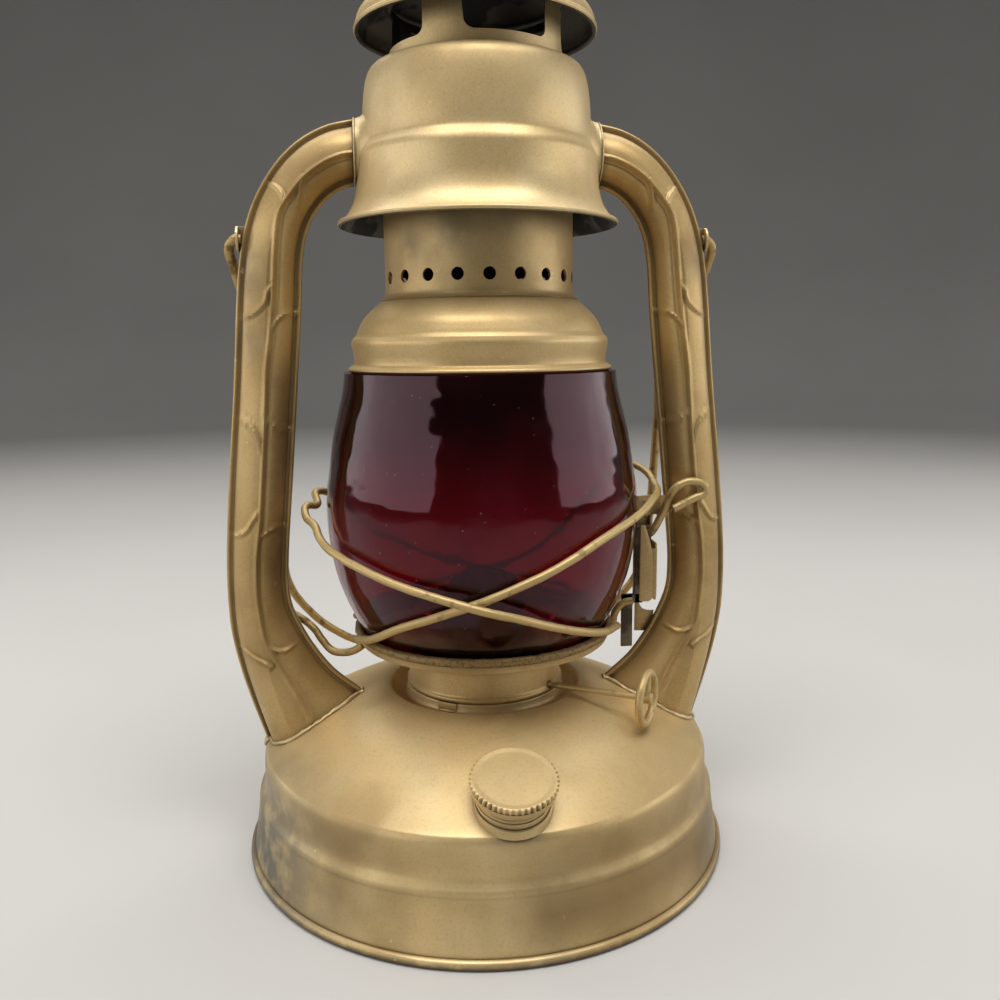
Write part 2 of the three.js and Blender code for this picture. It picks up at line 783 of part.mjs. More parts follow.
function guardHoop(side, shares) {
  const place = (degrees, height, radius) => {
    const angle = THREE.MathUtils.degToRad(degrees);
    return [side * radius * Math.cos(angle), -radius * Math.sin(angle), height];
  };
  const endRadius = ringSide + guardWire + gap / 2;
  const points = shares.map(([degrees, rise, spread]) => {
    const height = ringHeight + guardRise * rise;
    const skin = radiusAt(globeOutline, height) + gap + guardWire;
    return place(degrees, height, skin + guardSpread * spread);
  });
  const ends = [guardEndAngle, -guardEndAngle].map((degrees) => place(degrees, ringHeight, endRadius));
  return wire([ends[0], ...points, ends[1]], guardWire);
}

// Lift work on the right side. Heights and widths are tied to the tube's inner edge and to the ring.

const webFoot = channelFoot + channelFootRise;
const channelWeb = between(tubeInner, webFoot, 1, 0) - channelStandoff;
const channelInside = channelWeb - sheet;
const channelBack = gap / 2 + 2 * gap + sheet;
const slideBack = channelBack - sheet - gap;
const slideFront = slideBack - slideThickness;
const slideX = channelWeb - channelDepth + gap;
const leverPivotX = channelWeb + leverPivotRoom;
const leverPinEnd = slideFront - gap;
const lugBack = leverArmY - leverWire - gap;
const lugReach = leverPivotX + lugHole + gap;

// The guide arm from the ring out past the rear of the tube: out, back and up, in wire radii.
const guideArmShares = [
  [0, -2, 0], [4, -1.8, -1.3], [7.8, -1.5, -1.3], [12, 1.2, 1.4], [16.9, 4.6, 6], [21, 7.8, 9],
  [27, 8.9, 10.5],
];

function guideArm() {
  const start = ringRadius - ringWire / 2;
  const low = plateLedge - sheet - gap - armWire;
  const points = guideArmShares.map(([out, back, up]) => (
    [start + armWire * out, armWire * back, low + armWire * up]));
  return mirrored(wire(points, armWire));
}

// The lift arm from the ring up over the slide's crossbar: out in wire radii, then the shares of its
// way to the front of the slide and of its height.
const liftArmShares = [[0, 0.4, 0], [0, 0.6, 0.33], [0.8, 1, 0.74], [2.6, 1, 1], [5, 1, 1.08]];

function liftArm() {
  const start = ringSide + armWire;
  const face = slideFront - gap - armWire;
  const height = slideCrossbar - 2 * armWire - plateLedge;
  const points = liftArmShares.map(([out, front, up]) => (
    [start + armWire * out, face * front, plateLedge + height * up]));
  return wire(points, armWire, 3);
}

function liftSlide() {
  const low = slideCrossbar - slideCrossbarDepth;
  const tail = ringSide + slideTailRoom;
  const strip = plate([
    [tail, slideTail], [tail + slideTailWidth, slideTail], [tail + slideTailWidth, low],
    [slideX + liftPlateWidth, low], [slideX + liftPlateWidth, slideTop], [slideX, slideTop],
    [slideX, slideCrossbar], [tail, slideCrossbar],
  ], [slideFront, slideBack]);
  const shelf = slab(
    [slideX, channelInside - gap],
    [slideFront - slideShelf, slideBack],
    [slideTop - slideThickness, slideTop],
  );
  return joined(strip, shelf);
}

function liftChannel() {
  const left = channelWeb - channelDepth;
  const webX = [channelInside, channelWeb];
  const rear = plate([
    [left, channelFoot], [channelWeb - channelFootRise / 2, channelFoot], [channelWeb, webFoot],
    [channelWeb, channelTop], [left, channelTop],
  ], [channelBack - sheet, channelBack]);
  const web = slab(webX, [-channelFront, channelBack], [webFoot, channelLegTop]);
  const upperWeb = slab(webX, [-channelDepth, channelBack], [channelLegTop - sheet, channelTop]);
  const frontY = [-channelFront, sheet - channelFront];
  const front = slab([left, channelWeb], frontY, [channelLegFoot, channelLegTop]);
  const room = leverWire + gap;
  const slot = slab(
    [channelInside - overrun, channelWeb + overrun],
    [leverArmY - room, leverPinEnd + gap],
    [leverPivotHeight - leverArm - room, leverPivotHeight + leverArm / 2],
  );
  return cut(joined(rear, web, upperWeb, front), slot);
}

function leverLug() {
  const face = slab([channelWeb - channelDepth, lugReach], [lugBack - sheet, lugBack], [lugFoot, lugTop]);
  const foldY = [lugBack - sheet, -seamFace - gap];
  const fold = slab([lugReach - sheet, lugReach], foldY, [lugTop - lugFold, lugTop]);
  const hole = bore(lugHole, 0, channelFront + overrun).rotateX(Math.PI / 2)
    .translate(leverPivotX, 0, leverPivotHeight);
  return cut(joined(face, fold), hole);
}

// The finger loop from the pivot up, over, out and back: shares of its reach from the pivot.
const leverLoopShares = [
  [0.17, 0.67], [0.33, 0.84], [0.565, 0.9], [0.83, 0.83], [1, 0.63], [0.985, 0.45], [0.81, 0.36],
  [0.61, 0.33], [0.43, 0.28],
];

function liftLever() {
  const tip = [
    leverPivotX + leverArm * Math.cos(leverArmAngle),
    leverPivotHeight + leverArm * Math.sin(leverArmAngle),
  ];
  const lean = [leverPivotX - tip[0], leverPivotHeight - tip[1]].map((run) => (leverBend * run) / leverArm);
  const loopPoints = leverLoopShares.map(([x, z]) => (
    [leverPivotX + leverLoop * x, leverLoopY, leverPivotHeight + leverLoop * z]));
  return wire([
    [tip[0], leverPinEnd, tip[1]],
    [tip[0], leverArmY + leverBend, tip[1]],
    [tip[0] + lean[0], leverArmY, tip[1] + lean[1]],
    [leverPivotX - lean[0], leverArmY, leverPivotHeight - lean[1]],
    [leverPivotX, leverArmY - leverBend, leverPivotHeight],
    [leverPivotX, leverLoopY + leverBend, leverPivotHeight],
    [leverPivotX + leverBend / 4, leverLoopY, leverPivotHeight + leverBend],
    ...loopPoints,
  ], leverWire, 3);
}

// Side tubes: each half is a pressed sheet with a flat seam flange along both edges.

const crossShares = [-1, -0.55, 0, 0.55, 1];
const bulgeShares = [0, 0.74, 1, 0.74, 0];

function tubeHalf(side, face) {
  const steps = tubeStations.length - 1;
  const across = crossShares.length + 1;
  const half = bent(across, steps, (u, v, s) => {
    const station = tubeStations[Math.round(s * steps)];
    const column = Math.round(u * across);
    const [outer, inner] = [station.outer, station.inner];
    const middle = [(outer[0] + inner[0]) / 2, (outer[1] + inner[1]) / 2];
    const reach = [(outer[0] - inner[0]) / 2, (outer[1] - inner[1]) / 2];
    const halfWidth = Math.hypot(...reach);
    const inside = v > 0.5;
    const wall = inside ? sheet : 0;
    const edge = column === 0 || column === across;
    const cross = edge ? 0 : crossShares[column - 1];
    const lean = station.lean * (1 - cross * cross);
    const bulge = edge ? 0 : bulgeShares[column - 1] * (station.depth - sheet);
    const way = edge ? Math.sign(column - 1) : (cross + lean) * (1 - (tubeFlange + wall) / halfWidth);
    return [
      side * (middle[0] + reach[0] * way),
      face * (gap / 2 + sheet - wall + bulge),
      middle[1] + reach[1] * way,
    ];
  });
  const skin = offset(fountOutline.slice(footBeadPoints.length), gap);
  const dome = turned([[0, 0], ...skin, [0, grooveFloor], [0, 0]], wideSides);
  return cut(half, dome);
}

// Hood, crown and top cap

function hood() {
  const shell = turned(pressed(hoodOutline), wideSides);
  const inside = offset(hoodOutline, -sheet);
  const low = hoodRimHeight - overrun;
  const hollow = turned([
    [0, low], [hoodRadius, low], ...inside.slice(1), [0, hoodTop - sheet], [0, low],
  ], wideSides);
  const bosses = [0, Math.PI].map((turn) => {
    const boss = rod(bossRadius, hoodMouth, bossReach, roundSides).rotateY(Math.PI / 2).rotateZ(turn);
    return cut(boss.translate(0, 0, portHeight), hollow);
  });
  const duct = rod(bossBore, -bossReach - overrun, bossReach + overrun, roundSides).rotateY(Math.PI / 2);
  return cut(joined(shell, ...bosses), duct.translate(0, 0, portHeight));
}

const guideInside = chimneyRadius + 2 * gap;
const guideTop = heightAt(offset(hoodOutline, -sheet).slice(-4), guideInside + sheet) - 2 * gap;

function flueGuide() {
  return turned([
    [guideInside, guideTop - guideLength], [guideInside + sheet, guideTop - guideLength],
    [guideInside + sheet, guideTop], [guideInside, guideTop], [guideInside, guideTop - guideLength],
  ]).rotateZ(Math.PI / roundSides);
}

function crown() {
  const top = crownFoot + crownHeight;
  const wall = turned([
    [crownRadius - sheet, crownFoot], [crownRadius, crownFoot], [crownRadius, top],
    [crownRadius - sheet, top], [crownRadius - sheet, crownFoot],
  ]);
  const halfWidth = crownRadius * Math.sin(crownWindowTurn / 2);
  const low = crownFoot + crownSill;
  const high = low + crownWindowHeight;
  const opening = plate([
    [-halfWidth, high], [-halfWidth, low + crownWindowCorner], [crownWindowCorner - halfWidth, low],
    [halfWidth - crownWindowCorner, low], [halfWidth, low + crownWindowCorner], [halfWidth, high],
  ], [0, crownRadius + overrun]);
  const windows = Array.from({ length: crownWindows }, (_, i) => (
    opening.clone().rotateZ(crownWindowAim - Math.PI / 2 + (2 * Math.PI * i) / crownWindows)));
  return cut(wall, ...windows);
}

function topCap() {
  const shares = [
    [1, 0], [0.985, 0.16], [0.954, 0.353], [0.873, 0.5], [0.734, topSeatShare], [0.5, 0.86],
    [0.25, 0.965], [0, 1],
  ];
  const foot = crownFoot + crownHeight + 2 * gap + sheet - topDepth * topSeatShare;
  return turned(pressed(shares.map(([r, h]) => [topRadius * r, foot + topDepth * h])));
}

// Bell, chimney and spring

function bell() {
  const shares = [
    [1.025, 0], [1.025, 0.06], [0.988, 0.11], [0.986, 0.21], [1.003, 0.36], [0.99, 0.47],
    [0.95, 0.55], [0.913, 0.69], [0.853, 0.8125], [0.773, 0.95], [0.725, 0.985],
  ];
  const neck = chimneyRadius - sheet - gap;
  const points = shares.map(([r, h]) => [bellRadius * r, bellFoot + bellHeight * h]);
  const outline = [...points, [neck, bellTop], [neck, bellTop + bellNeck]];
  return turned(pressed(outline)).rotateZ(Math.PI / roundSides);
}

function chimneyTube() {
  const tube = turned(pressed([
    [chimneyRadius, chimneyFoot], [chimneyRadius, chimneyTop - sheet / 2],
    [chimneyRadius - sheet, chimneyTop], [chimneyRadius - chimneyLip, chimneyTop],
  ]));
  const holes = Array.from({ length: chimneyHoles / 2 }, (_, i) => (
    rod(chimneyHole, -chimneyRadius - overrun, chimneyRadius + overrun, holeSides).rotateY(Math.PI / 2)
      .rotateZ((2 * Math.PI * i) / chimneyHoles).translate(0, 0, chimneyFoot + chimneyHoleRise)));
  return cut(tube.rotateZ(Math.PI / roundSides), ...holes);
}

function bellSpring() {
  const low = chimneyTop + gap + springWire;
  const high = hoodTop - sheet - gap - springWire;
  const radius = chimneyRadius - chimneyLip + springWire / 4;
  const steps = springTurns * springStepsPerTurn;
  const points = [];
  for (let i = 0; i <= steps; i += 1) {
    const angle = (2 * Math.PI * i) / springStepsPerTurn;
    points.push([radius * Math.cos(angle), radius * Math.sin(angle), low + ((high - low) * i) / steps]);
  }
  return wire(points, springWire, 1);
}

// Bail and its ears. The bail is drawn hanging straight down from its pivots, then tilted back.

const earFace = between(tubeOuter, bailPivotHeight - earRise, 1, 0) + earStandoff;
const bailTilt = Math.asin((shoulderRadius + bailWire + gap - bailPivotY) / bailDrop);

function bailEar() {
  const points = [];
  for (let i = 0; i <= 6; i += 1) {
    const angle = (i * Math.PI) / 6;
    points.push([-earWidth * Math.sin(angle), earRise * Math.cos(angle)]);
  }
  const shape = new THREE.Shape(points.map(([y, z]) => new THREE.Vector2(y, z)));
  shape.lineTo(seamFace + gap + sheet - bailPivotY, -earRise);
  shape.lineTo(seamFace + gap + sheet - bailPivotY, earRise);
  const ear = closed(new THREE.ExtrudeGeometry(shape, { depth: sheet, bevelEnabled: false }));
  ear.rotateX(Math.PI / 2).rotateZ(Math.PI / 2).translate(earFace, bailPivotY, bailPivotHeight);
  const bottom = bailPivotHeight - earRise;
  const top = bailPivotHeight + earRise;
  const edge = (height) => between(tubeOuter, height, 1, 0) - tubeFlange + gap;
  const foot = plate([
    [edge(bottom), bottom], [earFace + sheet, bottom], [earFace + sheet, top], [edge(top), top],
  ], [seamFace + gap, seamFace + gap + sheet]);
  const hole = bore(bailHole, earFace - overrun, earFace + overrun).rotateY(Math.PI / 2)
    .translate(0, bailPivotY, bailPivotHeight);
  return cut(joined(ear, foot), hole);
}

// The bail's leg below its hook: the share of its way from the waist out to the hook, and the drop
// in wire radii.
const bailLegShares = [
  [0.89, 0.45], [1, 1.5], [0.97, 5], [0.74, 12], [0.45, 19], [0, 30], [0.15, 44],
];

// The bail's arc: shares of its greatest half width and of the arc's drop.
const bailArcShares = [
  [0.987, 0], [1, 0.27], [0.982, 0.46], [0.9, 0.623], [0.7575, 0.78], [0.592, 0.88], [0.33, 0.965],
];

function bail() {
  const earOutside = earFace + sheet;
  const hook = earOutside + gap + bailHookShare * bailWire;
  const pinEnd = earFace - 2 * gap;
  const arcDrop = bailDrop - bailArc;
  const leg = [
    [pinEnd, 0], [earOutside + gap, 0],
    ...bailLegShares.map(([out, drop]) => [bailWaist + (hook - bailWaist) * out, bailWire * drop]),
  ];
  const arc = bailArcShares.map(([out, drop]) => [bailBelly * out, arcDrop + bailArc * drop]);
  const half = [...leg, ...arc];
  const points = [
    ...half.map(([x, drop]) => [x, 0, -drop]),
    [0, 0, -bailDrop],
    ...half.toReversed().map(([x, drop]) => [-x, 0, -drop]),
  ];
  return wire(points, bailWire).rotateX(bailTilt).translate(0, bailPivotY, bailPivotHeight);
}

// Assembly

const lantern = new THREE.Group();

add(lantern, 'fount_shell', fountShell(), 'paint');
add(lantern, 'fount_bottom', fountBottom(), 'shadedPaint');
add(lantern, 'tank_top', tankTop(), 'shadedPaint');

const filler = new THREE.Group();
filler.position.set(fillerSide, -fillerReach, domeHeight(fillerReach));
filler.rotation.x = fillerTilt;
lantern.add(filler);
add(filler, 'filler_neck', fillerNeck(), 'paint');
add(filler, 'filler_gasket', fillerGasket(), 'cork');
add(filler, 'filler_cap', fillerCap(), 'paint');

const burner = new THREE.Group();
burner.rotation.z = burnerTurn;
lantern.add(burner);
add(burner, 'burner_collar', burnerCollar(), 'brass');
add(burner, 'burner_drum', burnerDrum(), 'paint');
add(burner, 'burner_deck', burnerDeck(), 'darkSteel');
add(burner, 'burner_dome', burnerDome(), 'darkSteel');
add(burner, 'wick_tube', wickTube(), 'brass');
add(burner, 'wick', wick(), 'cotton');
add(burner, 'wick_shaft', shaftRod(shaftRadius, -shaftBack, shaftReach), 'wire');
add(burner, 'wick_wheel_1', wickWheel(-wheelSpacing), 'brass');
add(burner, 'wick_wheel_2', wickWheel(wheelSpacing), 'brass');
add(burner, 'wick_knob', wickKnob(), 'wire');
add(lantern, 'burner_latch_tab', latchTab(), 'wire');

add(lantern, 'globe_plate', globePlate(), 'darkSteel');
add(lantern, 'carrier_ring', carrierRing(), 'rustyWire');
add(lantern, 'guard_hoop_left', guardHoop(-1, leftHoopShares), 'wire');
add(lantern, 'guard_hoop_right', guardHoop(1, rightHoopShares), 'wire');
add(lantern, 'guide_arm', guideArm(), 'wire');
add(lantern, 'lift_arm', liftArm(), 'wire');
add(lantern, 'lift_slide', liftSlide(), 'paint');
add(lantern, 'globe', globe(), 'ruby');

for (const [word, side] of [['left', -1], ['right', 1]]) {
  add(lantern, `${word}_tube_front`, tubeHalf(side, -1), 'paint');
  add(lantern, `${word}_tube_rear`, tubeHalf(side, 1), 'paint');
}
add(lantern, 'lift_channel', liftChannel(), 'paint');
add(lantern, 'lever_lug', leverLug(), 'paint');
add(lantern, 'lift_lever', liftLever(), 'wire');

add(lantern, 'hood', hood(), 'paint');
add(lantern, 'flue_guide', flueGuide(), 'darkSteel');
add(lantern, 'crown', crown(), 'paint');
add(lantern, 'top_cap', topCap(), 'paint');
add(lantern, 'bell', bell(), 'paint');
add(lantern, 'chimney_tube', chimneyTube(), 'paint');
add(lantern, 'bell_spring', bellSpring(), 'darkSteel');

add(lantern, 'bail', bail(), 'wire');
add(lantern, 'bail_ear_right', bailEar(), 'paint');
add(lantern, 'bail_ear_left', mirrored(bailEar()), 'paint');

export default lantern;
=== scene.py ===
"""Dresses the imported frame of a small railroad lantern: painted sheet metal, wire work and a ruby globe."""

import logging
import math
from collections.abc import Iterable, Mapping, Sequence
from dataclasses import dataclass
from enum import Enum
from typing import Any

import bmesh
import bpy
from mathutils import Matrix, Vector, noise


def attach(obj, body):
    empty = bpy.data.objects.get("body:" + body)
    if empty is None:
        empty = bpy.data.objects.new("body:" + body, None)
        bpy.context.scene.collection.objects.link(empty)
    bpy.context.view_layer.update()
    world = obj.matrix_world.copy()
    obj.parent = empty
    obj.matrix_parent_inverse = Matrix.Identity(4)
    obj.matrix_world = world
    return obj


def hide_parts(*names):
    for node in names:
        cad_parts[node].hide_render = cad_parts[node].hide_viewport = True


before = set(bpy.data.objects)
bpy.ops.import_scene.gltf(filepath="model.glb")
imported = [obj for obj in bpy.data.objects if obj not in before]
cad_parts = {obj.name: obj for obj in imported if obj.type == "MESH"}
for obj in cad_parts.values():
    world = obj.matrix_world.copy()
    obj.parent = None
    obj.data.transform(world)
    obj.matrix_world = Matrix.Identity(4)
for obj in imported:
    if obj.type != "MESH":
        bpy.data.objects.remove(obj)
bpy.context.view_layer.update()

LOG = logging.getLogger("lantern")
MM = 0.001

# Steps round the lantern's axis, and the wires' roundness
SPIN_STEPS = 160
WIRE_ROUNDNESS = 5
# In millimetres: the sheet metal's thickness, and the size of the lumps that paint leaves on a wire
SHEET = 0.8
WIRE_LUMPS = 3.0
# In metres: points closer than this are one
TOUCH = 1e-7
# A face is lined with soot and painted shade where it looks at the axis or down by more than these shares
LINED_INWARD = 0.3
LINED_DOWN = 0.8

Point = Sequence[float]
Shape = bmesh.types.BMesh
Tree = bpy.types.NodeTree
Socket = bpy.types.NodeSocket
Finish = bpy.types.Material
Links = Mapping[str | int, Socket]


class Side(Enum):
    """The two sides of the lantern, as signs along X."""

    LEFT = -1
    RIGHT = 1


class Face(Enum):
    """The two halves of a side tube, as signs along Y."""

    FRONT = -1
    REAR = 1


class Body(Enum):
    """The moving bodies of the frame that pieces ride on."""

    STAND = "stand"
    CARRIER = "carrier"
    CHIMNEY = "chimney"
    LEVER = "lever"
    RAISER = "raiser"
    WICK = "wick"
    FILLER_LID = "filler_lid"
    BAIL = "bail"


# Colour and nodes


def linear(hex_colour: str) -> tuple[float, float, float, float]:
    """Turns an sRGB hex colour into linear RGBA.

    Args:
        hex_colour: six hex digits after a hash sign.

    Returns:
        The linear red, green, blue and an alpha of 1.
    """
    channels = [int(hex_colour[i : i + 2], 16) / 255 for i in (1, 3, 5)]
    red, green, blue = (c / 12.92 if c <= 0.04045 else ((c + 0.055) / 1.055) ** 2.4 for c in channels)
    return red, green, blue, 1.0


def add_node(
    tree: Tree,
    kind: str,
    settings: Mapping[str | int, Any] | None = None,
    links: Links | None = None,
) -> bpy.types.Node:
    """Adds one node to a tree.

    Args:
        tree: the tree that gets the node.
        kind: the node's type name.
        settings: values by property name, or by input name or number.
        links: output sockets by the name or number of the input that they feed.

    Returns:
        The new node.
    """
    node = tree.nodes.new(kind)
    for key, value in (settings or {}).items():
        if isinstance(key, str) and hasattr(node, key):
            setattr(node, key, value)
        else:
            node.inputs[key].default_value = value
    for key, socket in (links or {}).items():
        tree.links.new(socket, node.inputs[key])
    return node


def new_tree(name: str) -> tuple[Finish, Tree]:
    """Makes an empty node material.

    Args:
        name: the material's name.

    Returns:
        The material and its cleared node tree.
    """
    material = bpy.data.materials.new(name)
    material.use_nodes = True
    material.node_tree.nodes.clear()
    return material, material.node_tree


def finished(
    material: Finish, settings: Mapping[str, Any], links: Links, reliefs: Sequence[tuple[Socket, float, float]] = ()
) -> Finish:
    """Ends a material with its relief, its shader and its output.

    Args:
        material: the material, whose tree holds its patterns.
        settings: the shader's plain values by input name.
        links: the patterns' sockets by the name of the shader's input.
        reliefs: each layer of relief from the lowest up, with its pattern, strength and depth in millimetres.

    Returns:
        The same material.
    """
    tree = material.node_tree
    surface = dict(links)
    for height, strength, depth in reliefs:
        below = {"Normal": surface["Normal"]} if "Normal" in surface else {}
        layer = {"Strength": strength, "Distance": depth * MM}
        bump = add_node(tree, "ShaderNodeBump", layer, {"Height": height, **below})
        surface["Normal"] = bump.outputs["Normal"]
    shader = add_node(tree, "ShaderNodeBsdfPrincipled", settings, surface)
    add_node(tree, "ShaderNodeOutputMaterial", links={"Surface": shader.outputs["BSDF"]})
    return material


def noise_factor(tree: Tree, place: Socket, grain: float, low: float, high: float, detail: float = 3.0) -> Socket:
    """A noise pattern stretched to run from 0 to 1 between two of its levels.

    Args:
        tree: the material's tree.
        place: the coordinates that the pattern follows.
        grain: the size of the pattern's grains in millimetres.
        low: the noise level that gives 0.
        high: the noise level that gives 1.
        detail: the number of finer layers.

    Returns:
        The factor's socket.
    """
    pattern = add_node(tree, "ShaderNodeTexNoise", {"Scale": 1 / (grain * MM), "Detail": detail}, {"Vector": place})
    settings = {"interpolation_type": "SMOOTHSTEP", "From Min": low, "From Max": high}
    return add_node(tree, "ShaderNodeMapRange", settings, {"Value": pattern.outputs["Fac"]}).outputs["Result"]


def product(tree: Tree, *factors: Socket | float) -> Socket:
    """Multiplies factors.

    Args:
        tree: the material's tree.
        factors: the factors, each a socket or a number.

    Returns:
        The product's socket.
    """
    result = factors[0]
    for factor in factors[1:]:
        node = add_node(tree, "ShaderNodeMath", {"operation": "MULTIPLY"})
        for i, value in enumerate((result, factor)):
            if isinstance(value, Socket):
                tree.links.new(value, node.inputs[i])
            else:
                node.inputs[i].default_value = value
        result = node.outputs[0]
    return result


def mixed(tree: Tree, factor: Socket, base: Socket | str, top: Socket | str) -> Socket:
    """One colour laid over another.

    Args:
        tree: the material's tree.
        factor: how much of the top colour shows.
        base: the lower colour, a socket or a hex colour.
        top: the upper colour, a socket or a hex colour.

    Returns:
        The mixed colour's socket.
    """
    node = add_node(tree, "ShaderNodeMix", {"data_type": "RGBA"}, {0: factor})
    for i, value in ((6, base), (7, top)):
        if isinstance(value, str):
            node.inputs[i].default_value = linear(value)
        else:
            tree.links.new(value, node.inputs[i])
    return node.outputs[2]


def ranged(tree: Tree, value: Socket, low: float, high: float) -> Socket:
    """A factor from 0 to 1 stretched to run from one number to another."""
    return add_node(tree, "ShaderNodeMapRange", {"To Min": low, "To Max": high}, {"Value": value}).outputs["Result"]


# Finishes


@dataclass(frozen=True)
class StainAndShade:
    """A soft patch of another colour round a point; some are stains and some are painted shade.

    Attributes:
        centre: the middle of the patch in millimetres.
        reach: the radius where it has faded out, in millimetres.
        colour: the patch's hex colour.
        strength: how much it covers at its middle.
    """

    centre: tuple[float, float, float]
    reach: float
    colour: str
    strength: float


@dataclass(frozen=True)
class WearAndPaintedLightBand:
    """Colour along one height: on a bead or fold, pale wear that also paints its highlight; across a wide band,
    painted shade.

    Attributes:
        height: the band's middle height in millimetres.
        width: the height over which the band fades, in millimetres.
        colour: the hex colour of the wear, the painted highlight or the painted shade.
        strength: how much of it shows.
        patch: the size of the patches that break it, in millimetres.
    """

    height: float
    width: float
    colour: str
    strength: float
    patch: float = 4.0


@dataclass(frozen=True)
class BrassPaint:
    """Brass-coloured bronze-powder paint, brushed or sprayed on tinned steel: matte, speckled and worn.

    Attributes:
        name: the material's name.
        tone: the paint's main hex colour.
        pale: the hex colour of its lighter clouds and speckle.
        shade: the hex colour of its tarnished clouds.
        tarnish: how much of the tarnish shows.
        metallic: how much of it mirrors as metal.
        roughness: the middle roughness.
        stains_and_shade: soft patches of stain and of painted shade.
        bands: wear and painted highlights along folds, and painted shade along wider bands.
        recess_shade: how dark the painted shade in a recess is.
        recess_shade_reach: how far from a corner it lies, in millimetres.
    """

    name: str
    tone: str = "#cfae72"
    pale: str = "#e2cb9b"
    shade: str = "#8c734a"
    tarnish: float = 0.35
    metallic: float = 0.45
    roughness: float = 0.46
    stains_and_shade: tuple[StainAndShade, ...] = ()
    bands: tuple[WearAndPaintedLightBand, ...] = ()
    recess_shade: float = 0.8
    recess_shade_reach: float = 3.5

    def material(self) -> Finish:
        """Builds the material: clouds, powder speckle, tarnish, bands of wear and painted light, stains and painted
        shade, painted shade in recesses, and small chips.

        Returns:
            The material.
        """
        material, tree = new_tree(self.name)
        place = add_node(tree, "ShaderNodeTexCoord").outputs["Object"]
        clouds = noise_factor(tree, place, 22.0, 0.35, 0.68)
        colour = mixed(tree, product(tree, clouds, 0.3), self.tone, self.pale)
        # The powder in such paint is too fine to see, so its speckle is drawn at half a millimetre.
        speckle = noise_factor(tree, place, 0.5, 0.42, 0.7, 1.0)
        colour = mixed(tree, product(tree, speckle, 0.24), colour, self.pale)
        grit = noise_factor(tree, place, 0.9, 0.5, 0.72, 2.0)
        colour = mixed(tree, product(tree, grit, 0.15), colour, self.shade)
        tarnish = noise_factor(tree, place, 38.0, 0.47, 0.72, 5.0)
        colour = mixed(tree, product(tree, tarnish, self.tarnish), colour, self.shade)
        for band in self.bands:
            colour = mixed(tree, self.band_factor(tree, place, band), colour, band.colour)
        for spot in self.stains_and_shade:
            colour = mixed(tree, self.spot_factor(tree, place, spot), colour, spot.colour)
        # Painted shade: ambient occlusion darkens each seam, groove and foot of a rib.
        shelter = add_node(tree, "ShaderNodeAmbientOcclusion", {"samples": 6, "Distance": self.recess_shade_reach * MM})
        settings = {"From Min": 0.4, "From Max": 0.92, "To Min": self.recess_shade, "To Max": 0.0}
        recess_shaded = add_node(tree, "ShaderNodeMapRange", settings, {"Value": shelter.outputs["AO"]})
        colour = mixed(tree, recess_shaded.outputs["Result"], colour, "#4a3b26")
        chips = noise_factor(tree, place, 3.2, 0.76, 0.775, 2.0)
        colour = mixed(tree, product(tree, chips, 0.6), colour, "#dccba2")
        dulled = ranged(tree, tarnish, -0.05, 0.16)
        rough = add_node(tree, "ShaderNodeMath", {"operation": "ADD", 1: self.roughness}, {0: dulled})
        grain = add_node(tree, "ShaderNodeTexNoise", {"Scale": 1 / (0.45 * MM), "Detail": 2.0}, {"Vector": place})
        dents = add_node(tree, "ShaderNodeTexNoise", {"Scale": 1 / (16.0 * MM), "Detail": 1.0}, {"Vector": place})
        reliefs = ((grain.outputs["Fac"], 0.4, 0.06), (dents.outputs["Fac"], 0.5, 0.5))
        surface = {"Base Color": colour, "Roughness": rough.outputs[0]}
        return finished(material, {"Metallic": self.metallic}, surface, reliefs)

    def band_factor(self, tree: Tree, place: Socket, band: WearAndPaintedLightBand) -> Socket:
        """How much of a band shows at a place.

        Args:
            tree: the material's tree.
            place: the coordinates on the piece.
            band: the band.

        Returns:
            The factor's socket.
        """
        height = add_node(tree, "ShaderNodeSeparateXYZ", links={0: place}).outputs["Z"]
        distance = add_node(tree, "ShaderNodeMath", {"operation": "SUBTRACT", 1: band.height * MM}, {0: height})
        size = add_node(tree, "ShaderNodeMath", {"operation": "ABSOLUTE"}, {0: distance.outputs[0]})
        fade = add_node(
            tree,
            "ShaderNodeMapRange",
            {"From Min": 0.0, "From Max": band.width * MM, "To Min": band.strength, "To Max": 0.0},
            {"Value": size.outputs[0]},
        )
        broken = noise_factor(tree, place, band.patch, 0.3, 0.6)
        return product(tree, fade.outputs["Result"], broken)

    def spot_factor(self, tree: Tree, place: Socket, spot: StainAndShade) -> Socket:
        """How much of a stain shows at a place.

        Args:
            tree: the material's tree.
            place: the coordinates on the piece.
            spot: the stain.

        Returns:
            The factor's socket.
        """
        middle = tuple(value * MM for value in spot.centre)
        distance = add_node(tree, "ShaderNodeVectorMath", {"operation": "DISTANCE", 1: middle}, {0: place})
        settings = {
            "interpolation_type": "SMOOTHSTEP",
            "From Min": 0.0,
            "From Max": spot.reach * MM,
            "To Min": spot.strength,
            "To Max": 0.0,
        }
        fade = add_node(tree, "ShaderNodeMapRange", settings, {"Value": distance.outputs["Value"]})
        cloudy = noise_factor(tree, place, 9.0, 0.3, 0.55)
        return product(tree, fade.outputs["Result"], ranged(tree, cloudy, 0.45, 1.0))


